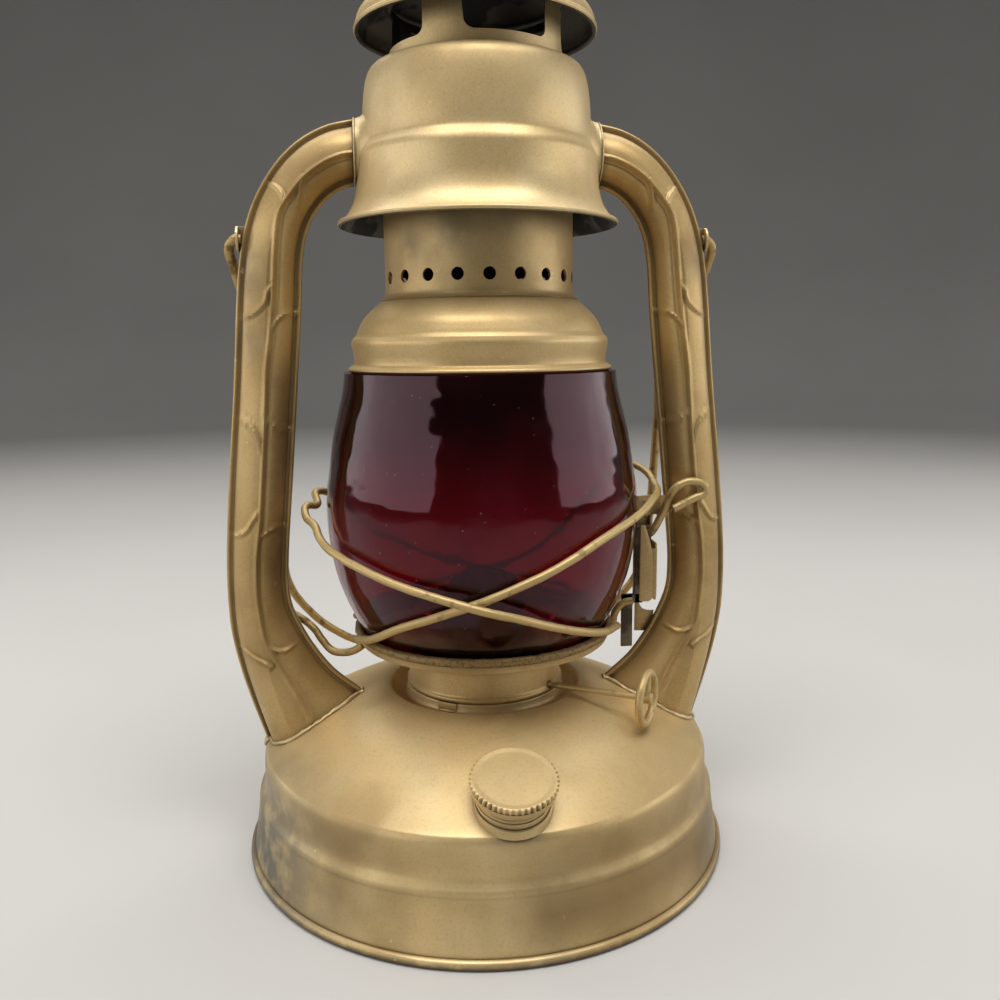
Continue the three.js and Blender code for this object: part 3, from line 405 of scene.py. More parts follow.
@dataclass(frozen=True)
class WornMetal:
    """Steel or brass with a second colour breaking through in patches: worn wire, rust, soot or dull brass.

    Attributes:
        name: the material's name.
        coat: the hex colour of the coat.
        bare: the hex colour that breaks through.
        patch: the size of the patches in millimetres.
        bare_share: how much breaks through, from 0 to 1.
        metallic: how much of it mirrors as metal.
        roughness: the middle roughness.
        relief: the depth of its roughness in millimetres.
    """

    name: str
    coat: str
    bare: str
    patch: float
    bare_share: float
    metallic: float
    roughness: float
    relief: float = 0.08

    def material(self) -> Finish:
        """Builds the material: a coat, patches of what lies under it, and a fine relief.

        Returns:
            The material.
        """
        material, tree = new_tree(self.name)
        place = add_node(tree, "ShaderNodeTexCoord").outputs["Object"]
        edge = 0.72 - 0.38 * self.bare_share
        patches = noise_factor(tree, place, self.patch, edge - 0.04, edge + 0.05, 6.0)
        specks = noise_factor(tree, place, self.patch / 6, 0.58, 0.66, 2.0)
        colour = mixed(tree, product(tree, specks, 0.35), self.coat, self.bare)
        colour = mixed(tree, product(tree, patches, 0.85), colour, self.bare)
        grain = add_node(tree, "ShaderNodeTexNoise", {"Scale": 1 / (0.9 * MM), "Detail": 4.0}, {"Vector": place})
        rough = ranged(tree, patches, self.roughness, min(1.0, self.roughness + 0.2))
        surface = {"Base Color": colour, "Roughness": rough}
        return finished(material, {"Metallic": self.metallic}, surface, ((grain.outputs["Fac"], 0.6, self.relief),))


@dataclass(frozen=True)
class RubyGlass:
    """Blown ruby glass: smooth and deep red, with a thin film of dust and a few specks.

    Attributes:
        name: the material's name.
        tint: the linear colour that one wall passes.
        smoke: the same where soot lies on the inside near the top.
        dust: the hex colour of the dust.
        sooty: the heights in millimetres between which the soot sets in.
    """

    name: str = "ruby_blown_glass"
    tint: tuple[float, float, float, float] = (0.30, 0.004, 0.045, 1.0)
    smoke: tuple[float, float, float, float] = (0.12, 0.003, 0.008, 1.0)
    dust: str = "#8d7a76"
    sooty: tuple[float, float] = (118.0, 160.0)

    def material(self) -> Finish:
        """Builds the material: clear red glass with specks of dust that hide it.

        Returns:
            The material.
        """
        material, tree = new_tree(self.name)
        place = add_node(tree, "ShaderNodeTexCoord").outputs["Object"]
        specks = noise_factor(tree, place, 1.1, 0.735, 0.79, 1.0)
        film = noise_factor(tree, place, 30.0, 0.45, 0.8, 4.0)
        height = add_node(tree, "ShaderNodeSeparateXYZ", links={0: place}).outputs["Z"]
        low, high = (level * MM for level in self.sooty)
        settings = {"interpolation_type": "SMOOTHSTEP", "From Min": low, "From Max": high}
        sooty = add_node(tree, "ShaderNodeMapRange", settings, {"Value": height}).outputs["Result"]
        cloudy = ranged(tree, noise_factor(tree, place, 26.0, 0.3, 0.65), 0.7, 1.0)
        walls = {"data_type": "RGBA", 6: self.tint, 7: self.smoke}
        glass = add_node(tree, "ShaderNodeMix", walls, {0: product(tree, sooty, cloudy)})
        veil = add_node(tree, "ShaderNodeMath", {"operation": "MAXIMUM"}, {0: specks, 1: product(tree, film, 0.2)})
        colour = mixed(tree, veil.outputs[0], glass.outputs[2], self.dust)
        clear = ranged(tree, veil.outputs[0], 1.0, 0.5)
        rough = ranged(tree, film, 0.07, 0.2)
        waves = add_node(tree, "ShaderNodeTexNoise", {"Scale": 1 / (24.0 * MM), "Detail": 0.5}, {"Vector": place})
        ripples = add_node(tree, "ShaderNodeTexNoise", {"Scale": 1 / (9.0 * MM), "Detail": 1.0}, {"Vector": place})
        settings = {"IOR": 1.5, "Specular Tint": (0.72, 0.5, 0.58, 1.0)}
        surface = {"Base Color": colour, "Roughness": rough, "Transmission Weight": clear}
        reliefs = ((waves.outputs["Fac"], 0.7, 0.8), (ripples.outputs["Fac"], 0.6, 0.5))
        return finished(material, settings, surface, reliefs)


@dataclass(frozen=True)
class SoftGoods:
    """A matte fibrous or granular material: woven cotton or pressed cork.

    Attributes:
        name: the material's name.
        light: the hex colour of its raised parts.
        dark: the hex colour of its hollows.
        grain: the size of its pattern in millimetres.
    """

    name: str
    light: str
    dark: str
    grain: float

    def material(self) -> Finish:
        """Builds the material: two colours and a relief that follow one grain.

        Returns:
            The material.
        """
        material, tree = new_tree(self.name)
        place = add_node(tree, "ShaderNodeTexCoord").outputs["Object"]
        pattern = add_node(tree, "ShaderNodeTexVoronoi", {"Scale": 1 / (self.grain * MM)}, {"Vector": place})
        limits = {"From Min": 0.1, "From Max": 0.7}
        hollow = add_node(tree, "ShaderNodeMapRange", limits, {"Value": pattern.outputs["Distance"]}).outputs["Result"]
        colour = mixed(tree, hollow, self.light, self.dark)
        relief = {"Strength": 0.6, "Distance": 0.2 * MM, "invert": True}
        bump = add_node(tree, "ShaderNodeBump", relief, {"Height": hollow})
        return finished(material, {"Roughness": 0.92}, {"Base Color": colour, "Normal": bump.outputs["Normal"]})


@dataclass(frozen=True)
class FinishSet:
    """Every finish of the lantern, built once and named for what wears it."""

    tank: Finish
    tank_under: Finish
    cap: Finish
    burner: Finish
    tubes: Finish
    head: Finish
    flue: Finish
    hardware: Finish
    wire: Finish
    bail_wire: Finish
    rusty_wire: Finish
    soot: Finish
    bare_steel: Finish
    brass: Finish
    glass: Finish
    cork: Finish
    cotton: Finish

    @classmethod
    def build(cls) -> "FinishSet":
        """Makes each finish's material.

        Returns:
            The set.
        """
        pale = "#cdbb8e"
        tank_bands = (
            # Darker along the foot bead.
            WearAndPaintedLightBand(1.4, 1.6, "#57503f", 0.6),
            # Painted shade: the lower wall and skirt are darker, as they face away from the high lamps.
            WearAndPaintedLightBand(14.0, 44.0, "#7f6336", 0.8, 60.0),
            # Pale wear on the ridge and on the lip that also paints their highlights.
            WearAndPaintedLightBand(23.2, 2.6, pale, 0.25),
            WearAndPaintedLightBand(56.3, 0.7, pale, 0.35),
        )
        tank_stains_and_shade = (
            StainAndShade((-74.0, -34.0, 13.0), 46.0, "#5a5b55", 0.9),
            StainAndShade((-83.0, -6.0, 8.0), 40.0, "#5a5b55", 0.8),
            StainAndShade((72.0, -42.0, 9.0), 26.0, "#6b624b", 0.5),
            # Painted shade: the dome is darker round the lip, standing in for its darker reflection there.
            StainAndShade((10.0, -30.0, 56.0), 26.0, "#6a5b3c", 0.45),
            StainAndShade((-16.2, -80.5, 35.9), 1.6, "#d9cfae", 0.9),
        )
        return cls(
            # The tank's paint is made lighter than the rest, which paints the light on its dome.
            tank=BrassPaint(
                "lit_brass_paint_on_tank_steel", tone="#e2c388", pale="#eedbae", stains_and_shade=tank_stains_and_shade, bands=tank_bands
            ).material(),
            tank_under=BrassPaint("tarnished_brass_paint_under_tank", tone="#7d6a44", tarnish=0.9).material(),
            # The cap's paint is lighter too, which paints the light on its top.
            cap=BrassPaint("lit_brass_paint_on_filler_cap", tone="#e3c58a").material(),
            burner=BrassPaint("brass_paint_on_burner", tone="#bf9f63").material(),
            tubes=BrassPaint(
                "brass_paint_on_pressed_tubes",
                tone="#c1a064",
                pale="#d9bf8a",
                shade="#7a5b36",
                tarnish=0.5,
                stains_and_shade=(
                    StainAndShade((-77.0, -8.0, 202.0), 16.0, "#5c5a4f", 0.55),
                    StainAndShade((-79.0, -8.0, 178.0), 12.0, "#63594a", 0.5),
                    StainAndShade((77.0, -8.0, 205.0), 14.0, "#5c5a4f", 0.4),
                    # Painted shade: a darker patch on the left tube's inner facet, standing in for its dark
                    # reflection.
                    StainAndShade((-70.0, -6.0, 105.0), 16.0, "#4f3a22", 0.4),
                ),
            ).material(),
            head=BrassPaint(
                "brass_paint_on_hood",
                tone="#d6b880",
                pale="#ecd9ad",
                # Pale wear on the hood's rolled rim that also paints its highlight.
                bands=(WearAndPaintedLightBand(215.9, 0.9, pale, 0.5),),
            ).material(),
            flue=BrassPaint(
                "brass_paint_on_flue",
                tone="#ccac72",
                # Pale wear on the bell's rim and crease that also paints their highlights.
                bands=(WearAndPaintedLightBand(168.6, 0.9, pale, 0.4), WearAndPaintedLightBand(179.2, 0.7, pale, 0.3)),
                # Painted shade: the chimney is darker in patches just under and inside the hood's rim, where the hood
                # shades it.
                stains_and_shade=(
                    StainAndShade((-12.0, -31.0, 212.0), 10.0, "#6a5f48", 0.6),
                    StainAndShade((-24.0, -21.0, 208.0), 8.0, "#6a5f48", 0.5),
                    StainAndShade((0.0, -20.0, 222.0), 30.0, "#75664a", 0.55),
                ),
            ).material(),
            hardware=BrassPaint("brass_paint_on_lift_work", tone="#b79763", tarnish=0.6).material(),
            wire=WornMetal("worn_gold_paint_on_wire", "#c6ab74", "#a08b5e", 3.5, 0.25, 0.5, 0.48).material(),
            bail_wire=WornMetal("gold_paint_on_bail_wire", "#bd9f66", "#7f6a42", 5.0, 0.35, 0.5, 0.48).material(),
            rusty_wire=WornMetal("rusty_paint_on_ring", "#93794c", "#6a5738", 0.8, 0.4, 0.45, 0.5, 0.14).material(),
            # Soot; as the lining of the head and flue it also paints their shade.
            soot=WornMetal("sooted_steel", "#4a4438", "#231f1a", 14.0, 0.5, 0.6, 0.6).material(),
            bare_steel=WornMetal("greyed_steel_strip", "#7b7263", "#5a5146", 9.0, 0.5, 0.6, 0.5).material(),
            brass=WornMetal("dull_brass", "#9a7b3b", "#5e4a26", 10.0, 0.4, 0.85, 0.4).material(),
            glass=RubyGlass().material(),
            cork=SoftGoods("pressed_cork", "#9c7a50", "#5a3f26", 1.2).material(),
            cotton=SoftGoods("woven_cotton_wick", "#d8cfb8", "#8f8672", 0.7).material(),
        )


# Lines and outlines, in millimetres


def between(start: tuple[float, Vector], end: tuple[float, Vector], t: float) -> Vector:
    """The point at t on the straight line through two points.

    Args:
        start: the first point's own t, and the point.
        end: the second point's own t, and the point.
        t: where the wanted point lies.

    Returns:
        The point.
    """
    (low, before), (high, after) = start, end
    return before * ((high - t) / (high - low)) + after * ((t - low) / (high - low))


def smoothed(points: Sequence[Point], steps: int) -> list[Vector]:
    """Points along a smooth line through the given ones.

    Args:
        points: the points that the line goes through, in two or three dimensions.
        steps: the number of steps from each point to the next.

    Returns:
        The line's points.
    """
    places = [Vector(point) for point in points]
    if len(places) < 3:
        return places
    ends = [2 * places[0] - places[1], *places, 2 * places[-1] - places[-2]]
    line = []
    for a, b, c, d in zip(ends, ends[1:], ends[2:], ends[3:]):
        knots = [0.0]
        for before, after in ((a, b), (b, c), (c, d)):
            knots.append(knots[-1] + max((after - before).length, 1e-9) ** 0.5)
        for step in range(steps):
            t = knots[1] + (knots[2] - knots[1]) * step / steps
            corners = list(zip(knots, (a, b, c, d)))
            first = [between(p, q, t) for p, q in zip(corners, corners[1:])]
            low = between((knots[0], first[0]), (knots[2], first[1]), t)
            high = between((knots[1], first[1]), (knots[3], first[2]), t)
            line.append(low.lerp(high, (t - knots[1]) / (knots[2] - knots[1])))
    line.append(places[-1])
    return line


def outline(*runs: Sequence[Point], steps: int = 5) -> list[Vector]:
    """Smooth runs of points joined end to end, with a corner where two runs meet.

    Args:
        runs: the runs, each starting where the one before ends.
        steps: the number of steps between points.

    Returns:
        The whole line's points.
    """
    line: list[Vector] = []
    for run in runs:
        part = smoothed(run, steps)
        line.extend(part[1:] if line and (line[-1] - part[0]).length < 1e-6 else part)
    return line


def inset(points: Sequence[Vector], distance: float) -> list[Vector]:
    """An outline moved to the left of its way, as a sheet's inner skin is.

    Args:
        points: the outer skin's points, going up and in.
        distance: the sheet's thickness.

    Returns:
        The inner skin's points.
    """
    moved = []
    for i, point in enumerate(points):
        before = (point - points[i - 1]).normalized() if i else (points[1] - point).normalized()
        after = (points[i + 1] - point).normalized() if i < len(points) - 1 else before
        left = Vector((-before.y - after.y, before.x + after.x))
        stretch = distance / max(0.4, 1 + before.dot(after))
        place = point + left * stretch
        moved.append(Vector((max(0.0, 0.0 if point.x < 1e-6 else place.x), place.y)))
    return moved


def sheet_section(points: Sequence[Vector], wall: float = SHEET) -> list[Vector]:
    """The section of a sheet: its outer skin and then its inner skin back."""
    return [*points, *reversed(inset(points, wall))]


def rolled_edge(radius: float, height: float, size: float, sides: int = 20) -> list[Vector]:
    """The round section of a rolled edge or of a ring of wire.

    Args:
        radius: the distance of its middle from the axis.
        height: the height of its middle.
        size: its own radius.
        sides: the number of its sides.

    Returns:
        The section's points.
    """
    return [
        Vector((radius + size * math.cos(math.tau * i / sides), height + size * math.sin(math.tau * i / sides)))
        for i in range(sides)
    ]


def radius_at(points: Sequence[Point], height: float) -> float:
    """The radius of an outline at a height.

    Args:
        points: the outline's points, of radius and height.
        height: the height.

    Returns:
        The radius there, or at the nearest point where the outline doesn't reach that height.
    """
    for (r1, z1), (r2, z2) in zip(points, points[1:]):
        if min(z1, z2) <= height <= max(z1, z2) and z1 != z2:
            return r1 + (r2 - r1) * (height - z1) / (z2 - z1)
    return min(points, key=lambda point: abs(point[1] - height))[0]


def bell_curve(distance: float, width: float) -> float:
    """A smooth bump that is 1 at no distance and fades over a width."""
    return math.exp(-((distance / width) ** 2))


# Meshes


def new_object(name: str, data: bpy.types.ID) -> bpy.types.Object:
    """Puts a mesh, curve, lamp or camera into the scene.

    Args:
        name: the object's name.
        data: what it shows.

    Returns:
        The object.
    """
    made = bpy.data.objects.new(name, data)
    bpy.context.scene.collection.objects.link(made)
    return made


def mesh_data(name: str, mesh: Shape) -> bpy.types.Mesh:
    """Mesh data made of a mesh that is being built, which is freed.

    Args:
        name: the data's name.
        mesh: the mesh.

    Returns:
        The data.
    """
    data = bpy.data.meshes.new(name)
    mesh.to_mesh(data)
    mesh.free()
    return data


def evaluated(holder: bpy.types.Object) -> Shape:
    """A mesh of an object's curve, or of its mesh after the modifiers.

    Args:
        holder: the object, which stays as it is.

    Returns:
        The mesh.
    """
    bpy.context.view_layer.update()
    data = bpy.data.meshes.new_from_object(holder.evaluated_get(bpy.context.evaluated_depsgraph_get()))
    mesh = bmesh.new()
    mesh.from_mesh(data)
    bpy.data.meshes.remove(data)
    return mesh


def spin(mesh: Shape, section: Sequence[Point], steps: int = SPIN_STEPS) -> None:
    """Turns a section round the Z axis inside a mesh.

    Args:
        mesh: the mesh that gets the shape.
        section: points of radius and height in millimetres. It is closed unless both its ends lie on the axis.
        steps: the number of steps of the full turn.
    """
    corners = [mesh.verts.new((radius * MM, 0.0, height * MM)) for radius, height in section]
    pairs = list(zip(corners, corners[1:]))
    if section[0][0] > 1e-6 or section[-1][0] > 1e-6:
        pairs.append((corners[-1], corners[0]))
    edges = [mesh.edges.new(pair) for pair in pairs]
    bmesh.ops.spin(
        mesh,
        geom=corners + edges,
        cent=(0.0, 0.0, 0.0),
        axis=(0.0, 0.0, 1.0),
        dvec=(0.0, 0.0, 0.0),
        angle=math.tau,
        steps=steps,
        use_merge=True,
        use_normal_flip=False,
        use_duplicate=False,
    )
    bmesh.ops.remove_doubles(mesh, verts=mesh.verts, dist=TOUCH)


def spun(*sections: Sequence[Point], steps: int = SPIN_STEPS) -> Shape:
    """A mesh of one or more closed shapes turned round the Z axis.

    Args:
        sections: each shape's section, of radius and height in millimetres.
        steps: the number of steps of the full turn.

    Returns:
        The mesh.
    """
    mesh = bmesh.new()
    for section in sections:
        spin(mesh, section, steps)
    return mesh


def swept(points: Sequence[Point], radius: float, closed: bool = False, lumps: float = 0.0) -> Shape:
    """A round wire along a smooth line.

    Args:
        points: points in millimetres that the wire goes through.
        radius: the wire's radius in millimetres.
        closed: whether the wire's ends meet.
        lumps: the height in millimetres of the lumps that paint and rust leave on it.

    Returns:
        The wire's mesh.
    """
    curve = bpy.data.curves.new("line", "CURVE")
    curve.dimensions = "3D"
    curve.resolution_u = 8
    curve.bevel_depth = radius * MM
    curve.bevel_resolution = WIRE_ROUNDNESS
    curve.use_fill_caps = True
    line = curve.splines.new("BEZIER")
    line.bezier_points.add(len(points) - 1)
    line.use_cyclic_u = closed
    for corner, point in zip(line.bezier_points, points):
        corner.co = Vector(point) * MM
        corner.handle_left_type = corner.handle_right_type = "AUTO"
    holder = new_object("line", curve)
    mesh = evaluated(holder)
    bpy.data.objects.remove(holder)
    bpy.data.curves.remove(curve)
    bmesh.ops.remove_doubles(mesh, verts=mesh.verts, dist=TOUCH)
    return lumpy(mesh, lumps, WIRE_LUMPS) if lumps else mesh


def lumpy(mesh: Shape, height: float, grain: float) -> Shape:
    """The mesh with lumps pushed out along the normals that it has.

    Args:
        mesh: the mesh, which is changed.
        height: the lumps' height in millimetres.
        grain: their size in millimetres.

    Returns:
        The same mesh.
    """
    mesh.normal_update()
    for corner in mesh.verts:
        corner.co += corner.normal * (noise.noise(corner.co / (grain * MM)) * height * MM)
    return mesh


def joined(*meshes: Shape) -> Shape:
    """Several meshes' shapes in one mesh.

    Args:
        meshes: the meshes. The first gets all the shapes and the others are freed.

    Returns:
        The first mesh.
    """
    whole = meshes[0]
    for other in meshes[1:]:
        data = mesh_data("part", other)
        whole.from_mesh(data)
        bpy.data.meshes.remove(data)
    return whole


def round_edges(mesh: Shape, edge: float) -> None:
    """Rounds every edge of a mesh.

    Args:
        mesh: the mesh, which is changed.
        edge: how far from the edge the rounding starts, in millimetres.
    """
    bmesh.ops.bevel(
        mesh,
        geom=mesh.edges[:],
        offset=edge * MM,
        offset_type="OFFSET",
        segments=2,
        profile=0.5,
        affect="EDGES",
        material=-1,
        clamp_overlap=True,
    )


def block(low: Point, high: Point, edge: float = 0.15) -> Shape:
    """A box with slightly rounded edges.

    Args:
        low: its lowest corner in millimetres.
        high: its highest corner in millimetres.
        edge: how far its edges are rounded.

    Returns:
        The box's mesh.
    """
    mesh = bmesh.new()
    bmesh.ops.create_cube(mesh, size=1.0)
    centre = (Vector(low) + Vector(high)) / 2
    size = Vector(high) - Vector(low)
    bmesh.ops.scale(mesh, vec=size * MM, verts=mesh.verts)
    bmesh.ops.translate(mesh, vec=centre * MM, verts=mesh.verts)
    round_edges(mesh, edge)
    return mesh


def rod(radius: float, low: float, high: float, steps: int = 32) -> Shape:
    """A round rod on the Z axis.

    Args:
        radius: its radius in millimetres.
        low: the height of its lower end.
        high: the height of its upper end.
        steps: the number of its sides.

    Returns:
        The rod's mesh.
    """
    mesh = bmesh.new()
    bmesh.ops.create_cone(
        mesh,
        cap_ends=True,
        segments=steps,
        radius1=radius * MM,
        radius2=radius * MM,
        depth=(high - low) * MM,
        matrix=Matrix.Translation((0.0, 0.0, (low + high) / 2 * MM)),
    )
    return mesh


def turned(mesh: Shape, *turns: Matrix) -> Shape:
    """The mesh after one or more moves.

    Args:
        mesh: the mesh, which is changed.
        turns: the moves, the first one first.

    Returns:
        The same mesh.
    """
    for turn in turns:
        mesh.transform(turn)
    return mesh


def about(axis: str, degrees: float) -> Matrix:
    """A turn about an axis by an angle in degrees."""
    return Matrix.Rotation(math.radians(degrees), 4, axis)


def shifted(x: float, y: float, z: float) -> Matrix:
    """A shift in millimetres."""
    return Matrix.Translation(Vector((x, y, z)) * MM)


def cut(mesh: Shape, *tools: Shape) -> Shape:
    """The mesh without what the tools cover, by one exact Boolean.

    Args:
        mesh: the closed mesh that is cut, which is freed.
        tools: the closed meshes that are taken away, which are freed too.

    Returns:
        A new mesh.
    """
    holders = []
    for name, shape in (("body", mesh), ("tool", joined(*tools))):
        bmesh.ops.recalc_face_normals(shape, faces=shape.faces)
        holders.append(new_object(name, mesh_data(name, shape)))
    step = holders[0].modifiers.new("cut", "BOOLEAN")
    step.operation = "DIFFERENCE"
    step.solver = "EXACT"
    step.object = holders[1]
    result = evaluated(holders[0])
    for holder in holders:
        data = holder.data
        bpy.data.objects.remove(holder)
        bpy.data.meshes.remove(data)
    return result


def place_piece(
    name: str,
    mesh: Shape,
    body: Body,
    finish: Finish,
    replaces: Iterable[str] = (),
    corner: float = 35.0,
    soot_and_shade_lining: Finish | None = None,
) -> bpy.types.Object:
    """Makes a finished piece of a mesh and sets it on the frame.

    Args:
        name: the piece's name.
        mesh: its closed mesh, which is freed.
        body: the body that it rides on.
        finish: its material.
        replaces: the frame's nodes that it stands for.
        corner: the angle in degrees above which an edge is sharp.
        soot_and_shade_lining: the material of the faces that look at the lantern's axis or straight down, soot that
            also paints their shade.

    Returns:
        The piece.
    """
    bmesh.ops.recalc_face_normals(mesh, faces=mesh.faces)
    data = mesh_data(name, mesh)
    data.materials.clear()
    data.materials.append(finish)
    # These faces get the soot lining, which also paints the shade inside and under the head and flue.
    if soot_and_shade_lining:
        data.materials.append(soot_and_shade_lining)
        for face in data.polygons:
            centre, normal = face.center, face.normal
            inward = -(centre.x * normal.x + centre.y * normal.y) / max(centre.xy.length, 1e-6)
            face.material_index = 1 if inward > LINED_INWARD or normal.z < -LINED_DOWN else 0
    data.shade_smooth()
    data.set_sharp_from_angle(angle=math.radians(corner))
    piece = new_object(name, data)
    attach(piece, body.value)
    if replaces:
        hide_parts(*replaces)
    LOG.info("piece %s: %d faces on %s", name, len(data.polygons), body.value)
    return piece


def dress_node(name: str, finish: Finish) -> None:
    """Gives a node of the frame that stays in sight its material.

    Args:
        name: the node's name.
        finish: its material.
    """
    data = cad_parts[name].data
    data.materials.clear()
    data.materials.append(finish)
    LOG.info("node %s dressed", name)


def prism(points: Sequence[Point], low: float, high: float, edge: float = 0.0) -> Shape:
    """An outline of X and Z in millimetres given thickness from one Y to a greater one.

    Args:
        points: the outline's corners.
        low: the lesser Y.
        high: the greater Y.
        edge: how far its edges are rounded.

    Returns:
        The plate's mesh.
    """
    mesh = bmesh.new()
    face = mesh.faces.new([mesh.verts.new((x * MM, low * MM, z * MM)) for x, z in points])
    grown = bmesh.ops.extrude_face_region(mesh, geom=[face])["geom"]
    corners = [part for part in grown if isinstance(part, bmesh.types.BMVert)]
    bmesh.ops.translate(mesh, vec=(0.0, (high - low) * MM, 0.0), verts=corners)
    bmesh.ops.recalc_face_normals(mesh, faces=mesh.faces)
    if edge:
        round_edges(mesh, edge)
    return mesh


def roughened(mesh: Shape, height: float, grain: float) -> Shape:
    """The mesh with its faces set outwards and lumps on it, as thick paint and rust leave.

    Args:
        mesh: the mesh, which is changed.
        height: the lumps' height in millimetres.
        grain: their size in millimetres.

    Returns:
        The same mesh.
    """
    bmesh.ops.recalc_face_normals(mesh, faces=mesh.faces)
    return lumpy(mesh, height, grain)


def rounded_corner(centre: Point, radius: float, start: float, end: float, steps: int = 6) -> list[Vector]:
    """Points round a corner.

    Args:
        centre: the middle of the rounding.
        radius: its radius.
        start: the angle of the first point, in degrees.
        end: the angle of the last point, in degrees.
        steps: the number of steps between them.

    Returns:
        The points.
    """
    angles = [math.radians(start + (end - start) * i / steps) for i in range(steps + 1)]
    return [Vector((centre[0] + radius * math.cos(a), centre[1] + radius * math.sin(a))) for a in angles]


# The lantern's sub-assemblies, with sizes in millimetres


@dataclass(frozen=True)
class Fount:
    """The oil tank: foot bead, flared skirt, ridge, wall, dome and the groove round the burner.

    Attributes:
        bead_reach: the foot bead's centre from the axis.
        bead: the bead's radius.
        shoulder: the dome's radius and height where it starts.
        lip: the dome's radius and height where the groove starts.
        bulge: how far the dome rises over a cone.
        dome_shares: where the dome's points lie between the shoulder and the lip.
    """

    bead_reach: float = 84.1
    bead: float = 1.6
    shoulder: tuple[float, float] = (79.0, 37.2)
    lip: tuple[float, float] = (34.2, 56.5)
    bulge: float = 2.5
    dome_shares: tuple[float, ...] = (0.03, 0.1, 0.25, 0.4, 0.55, 0.7, 0.85, 0.95, 0.985)

    def dome_height(self, radius: float) -> float:
        """The height of the dome's skin.

        Args:
            radius: the distance from the axis.

        Returns:
            The height there.
        """
        share = (self.shoulder[0] - radius) / (self.shoulder[0] - self.lip[0])
        return self.shoulder[1] + (self.lip[1] - self.shoulder[1]) * share + 4 * self.bulge * share * (1 - share)

    def skin(self) -> list[Vector]:
        """The outer skin from the bead up to the burner's groove.

        Returns:
            Its points, of radius and height.
        """
        radii = [self.shoulder[0] + (self.lip[0] - self.shoulder[0]) * share for share in self.dome_shares]
        dome = [(radius, self.dome_height(radius)) for radius in radii]
        return outline(
            [(83.6, 2.6), (84.0, 3.4), (83.5, 7.0), (82.4, 14.5), (81.9, 18.6), (81.7, 20.2)],
            [(81.7, 20.2), (81.72, 21.3), (81.4, 22.4), (80.7, 23.5), (79.95, 24.8), (79.5, 26.4), (79.35, 28.2)],
            [(79.35, 28.2), (79.35, 31.5), (79.3, 34.6), (79.0, 36.2), (78.2, 37.6), *dome],
            [dome[-1], (34.2, 56.35), (33.7, 55.9), (33.2, 54.8), (32.6, 53.9), (31.5, 53.4), (30.2, 53.35)],
            [(30.2, 53.35), (29.1, 53.7), (28.35, 54.6), (28.0, 55.8), (27.9, 56.6), (27.65, 56.9)],
        )

    def build(self, finishes: FinishSet) -> None:
        """Makes the shell with its holes, and the recessed bottom.

        Args:
            finishes: the finishes.
        """
        shell = spun(sheet_section(self.skin()))
        tools = [turned(rod(11.65, -9.0, 7.0, 64), Filler().frame())]
        tools += [turned(rod(6.0, 37.0, 57.0), shifted(side.value * 66.0, 0.0, 0.0)) for side in Side]
        shell = cut(shell, *tools)
        bead = spun(rolled_edge(self.bead_reach, self.bead, self.bead))
        place_piece("tank_shell", joined(shell, bead), Body.STAND, finishes.tank, ["fount_shell"])
        rings = [(0.0, 8.0), (54.0, 8.0), (55.0, 8.6), (57.0, 8.6), (58.0, 8.0), (81.9, 8.0), (82.3, 7.6), (82.3, 4.5)]
        under = [(81.5, 4.5), (81.5, 6.9), (81.1, 7.2), (58.4, 7.2), (57.2, 7.8), (54.8, 7.8), (53.6, 7.2), (0.0, 7.2)]
        place_piece("tank_bottom", spun(rings + under), Body.STAND, finishes.tank_under, ["fount_bottom"])


@dataclass(frozen=True)
class Filler:
    """The filler in the dome: a threaded neck and a cap with a scalloped rim.

    Attributes:
        foot: where the neck's axis meets the dome.
        tilt: the axis's lean to the front, in degrees.
        neck: the neck's radius.
        pitch: the thread's pitch.
        scallops: the number of scallops round the rim.
    """

    foot: tuple[float, float, float] = (0.7, -68.8, 43.3526)
    tilt: float = 17.5
    neck: float = 10.9
    pitch: float = 1.6
    scallops: int = 46

    def frame(self) -> Matrix:
        """From the filler's own axis to the lantern."""
        return shifted(*self.foot) @ about("X", self.tilt)

    def build(self, finishes: FinishSet) -> None:
        """Makes the neck with its thread and base ring, and the cap.

        Args:
            finishes: the finishes.
        """
        neck = spun(
            [(10.1, -9.0), (self.neck, -9.0), (self.neck, 6.9), (10.7, 7.3), (10.3, 7.3), (10.1, 7.0)],
            [(10.95, -2.6), (12.2, -2.6), (11.9, -0.6), (11.75, 0.1), (11.4, 0.35), (10.95, 0.35)],
        )
        turns = [math.radians(20 * i) for i in range(48)]
        helix = [(10.86 * math.cos(a), 10.86 * math.sin(a), 0.9 + self.pitch * a / math.tau) for a in turns]
        neck = turned(joined(neck, swept(helix, 0.48)), self.frame())
        place_piece("filler_neck_threaded", neck, Body.STAND, finishes.cap, ["filler_neck"])
        rim = rounded_corner((12.35, 8.75), 1.05, 95, -90, 16)
        top = [(0.0, 9.55), (9.9, 9.55), (10.7, 9.5), (11.2, 9.55), *rim]
        skirt = [(12.75, 7.6), (12.75, 5.9), (12.65, 5.7), (12.05, 5.7), (11.95, 5.8), (11.95, 8.9), (0.0, 8.9)]
        cap = spun(top + skirt, steps=6 * self.scallops)
        for corner in cap.verts:
            radius = corner.co.xy.length
            share = max(0.0, (radius / MM - 12.35) / 1.05)
            if share and corner.co.z > 7.7 * MM:
                angle = math.atan2(corner.co.y, corner.co.x)
                wave = math.cos(self.scallops * angle + 0.6 * math.sin(3 * angle))
                depth = 0.42 + 0.14 * math.sin(5 * angle + 1)
                corner.co.xy *= 1 - depth * MM * share * (1 - wave) / radius
        cap = turned(cap, self.frame())
        place_piece("filler_cap_scalloped", cap, Body.FILLER_LID, finishes.cap, ["filler_cap"])
        dress_node("filler_gasket", finishes.cork)


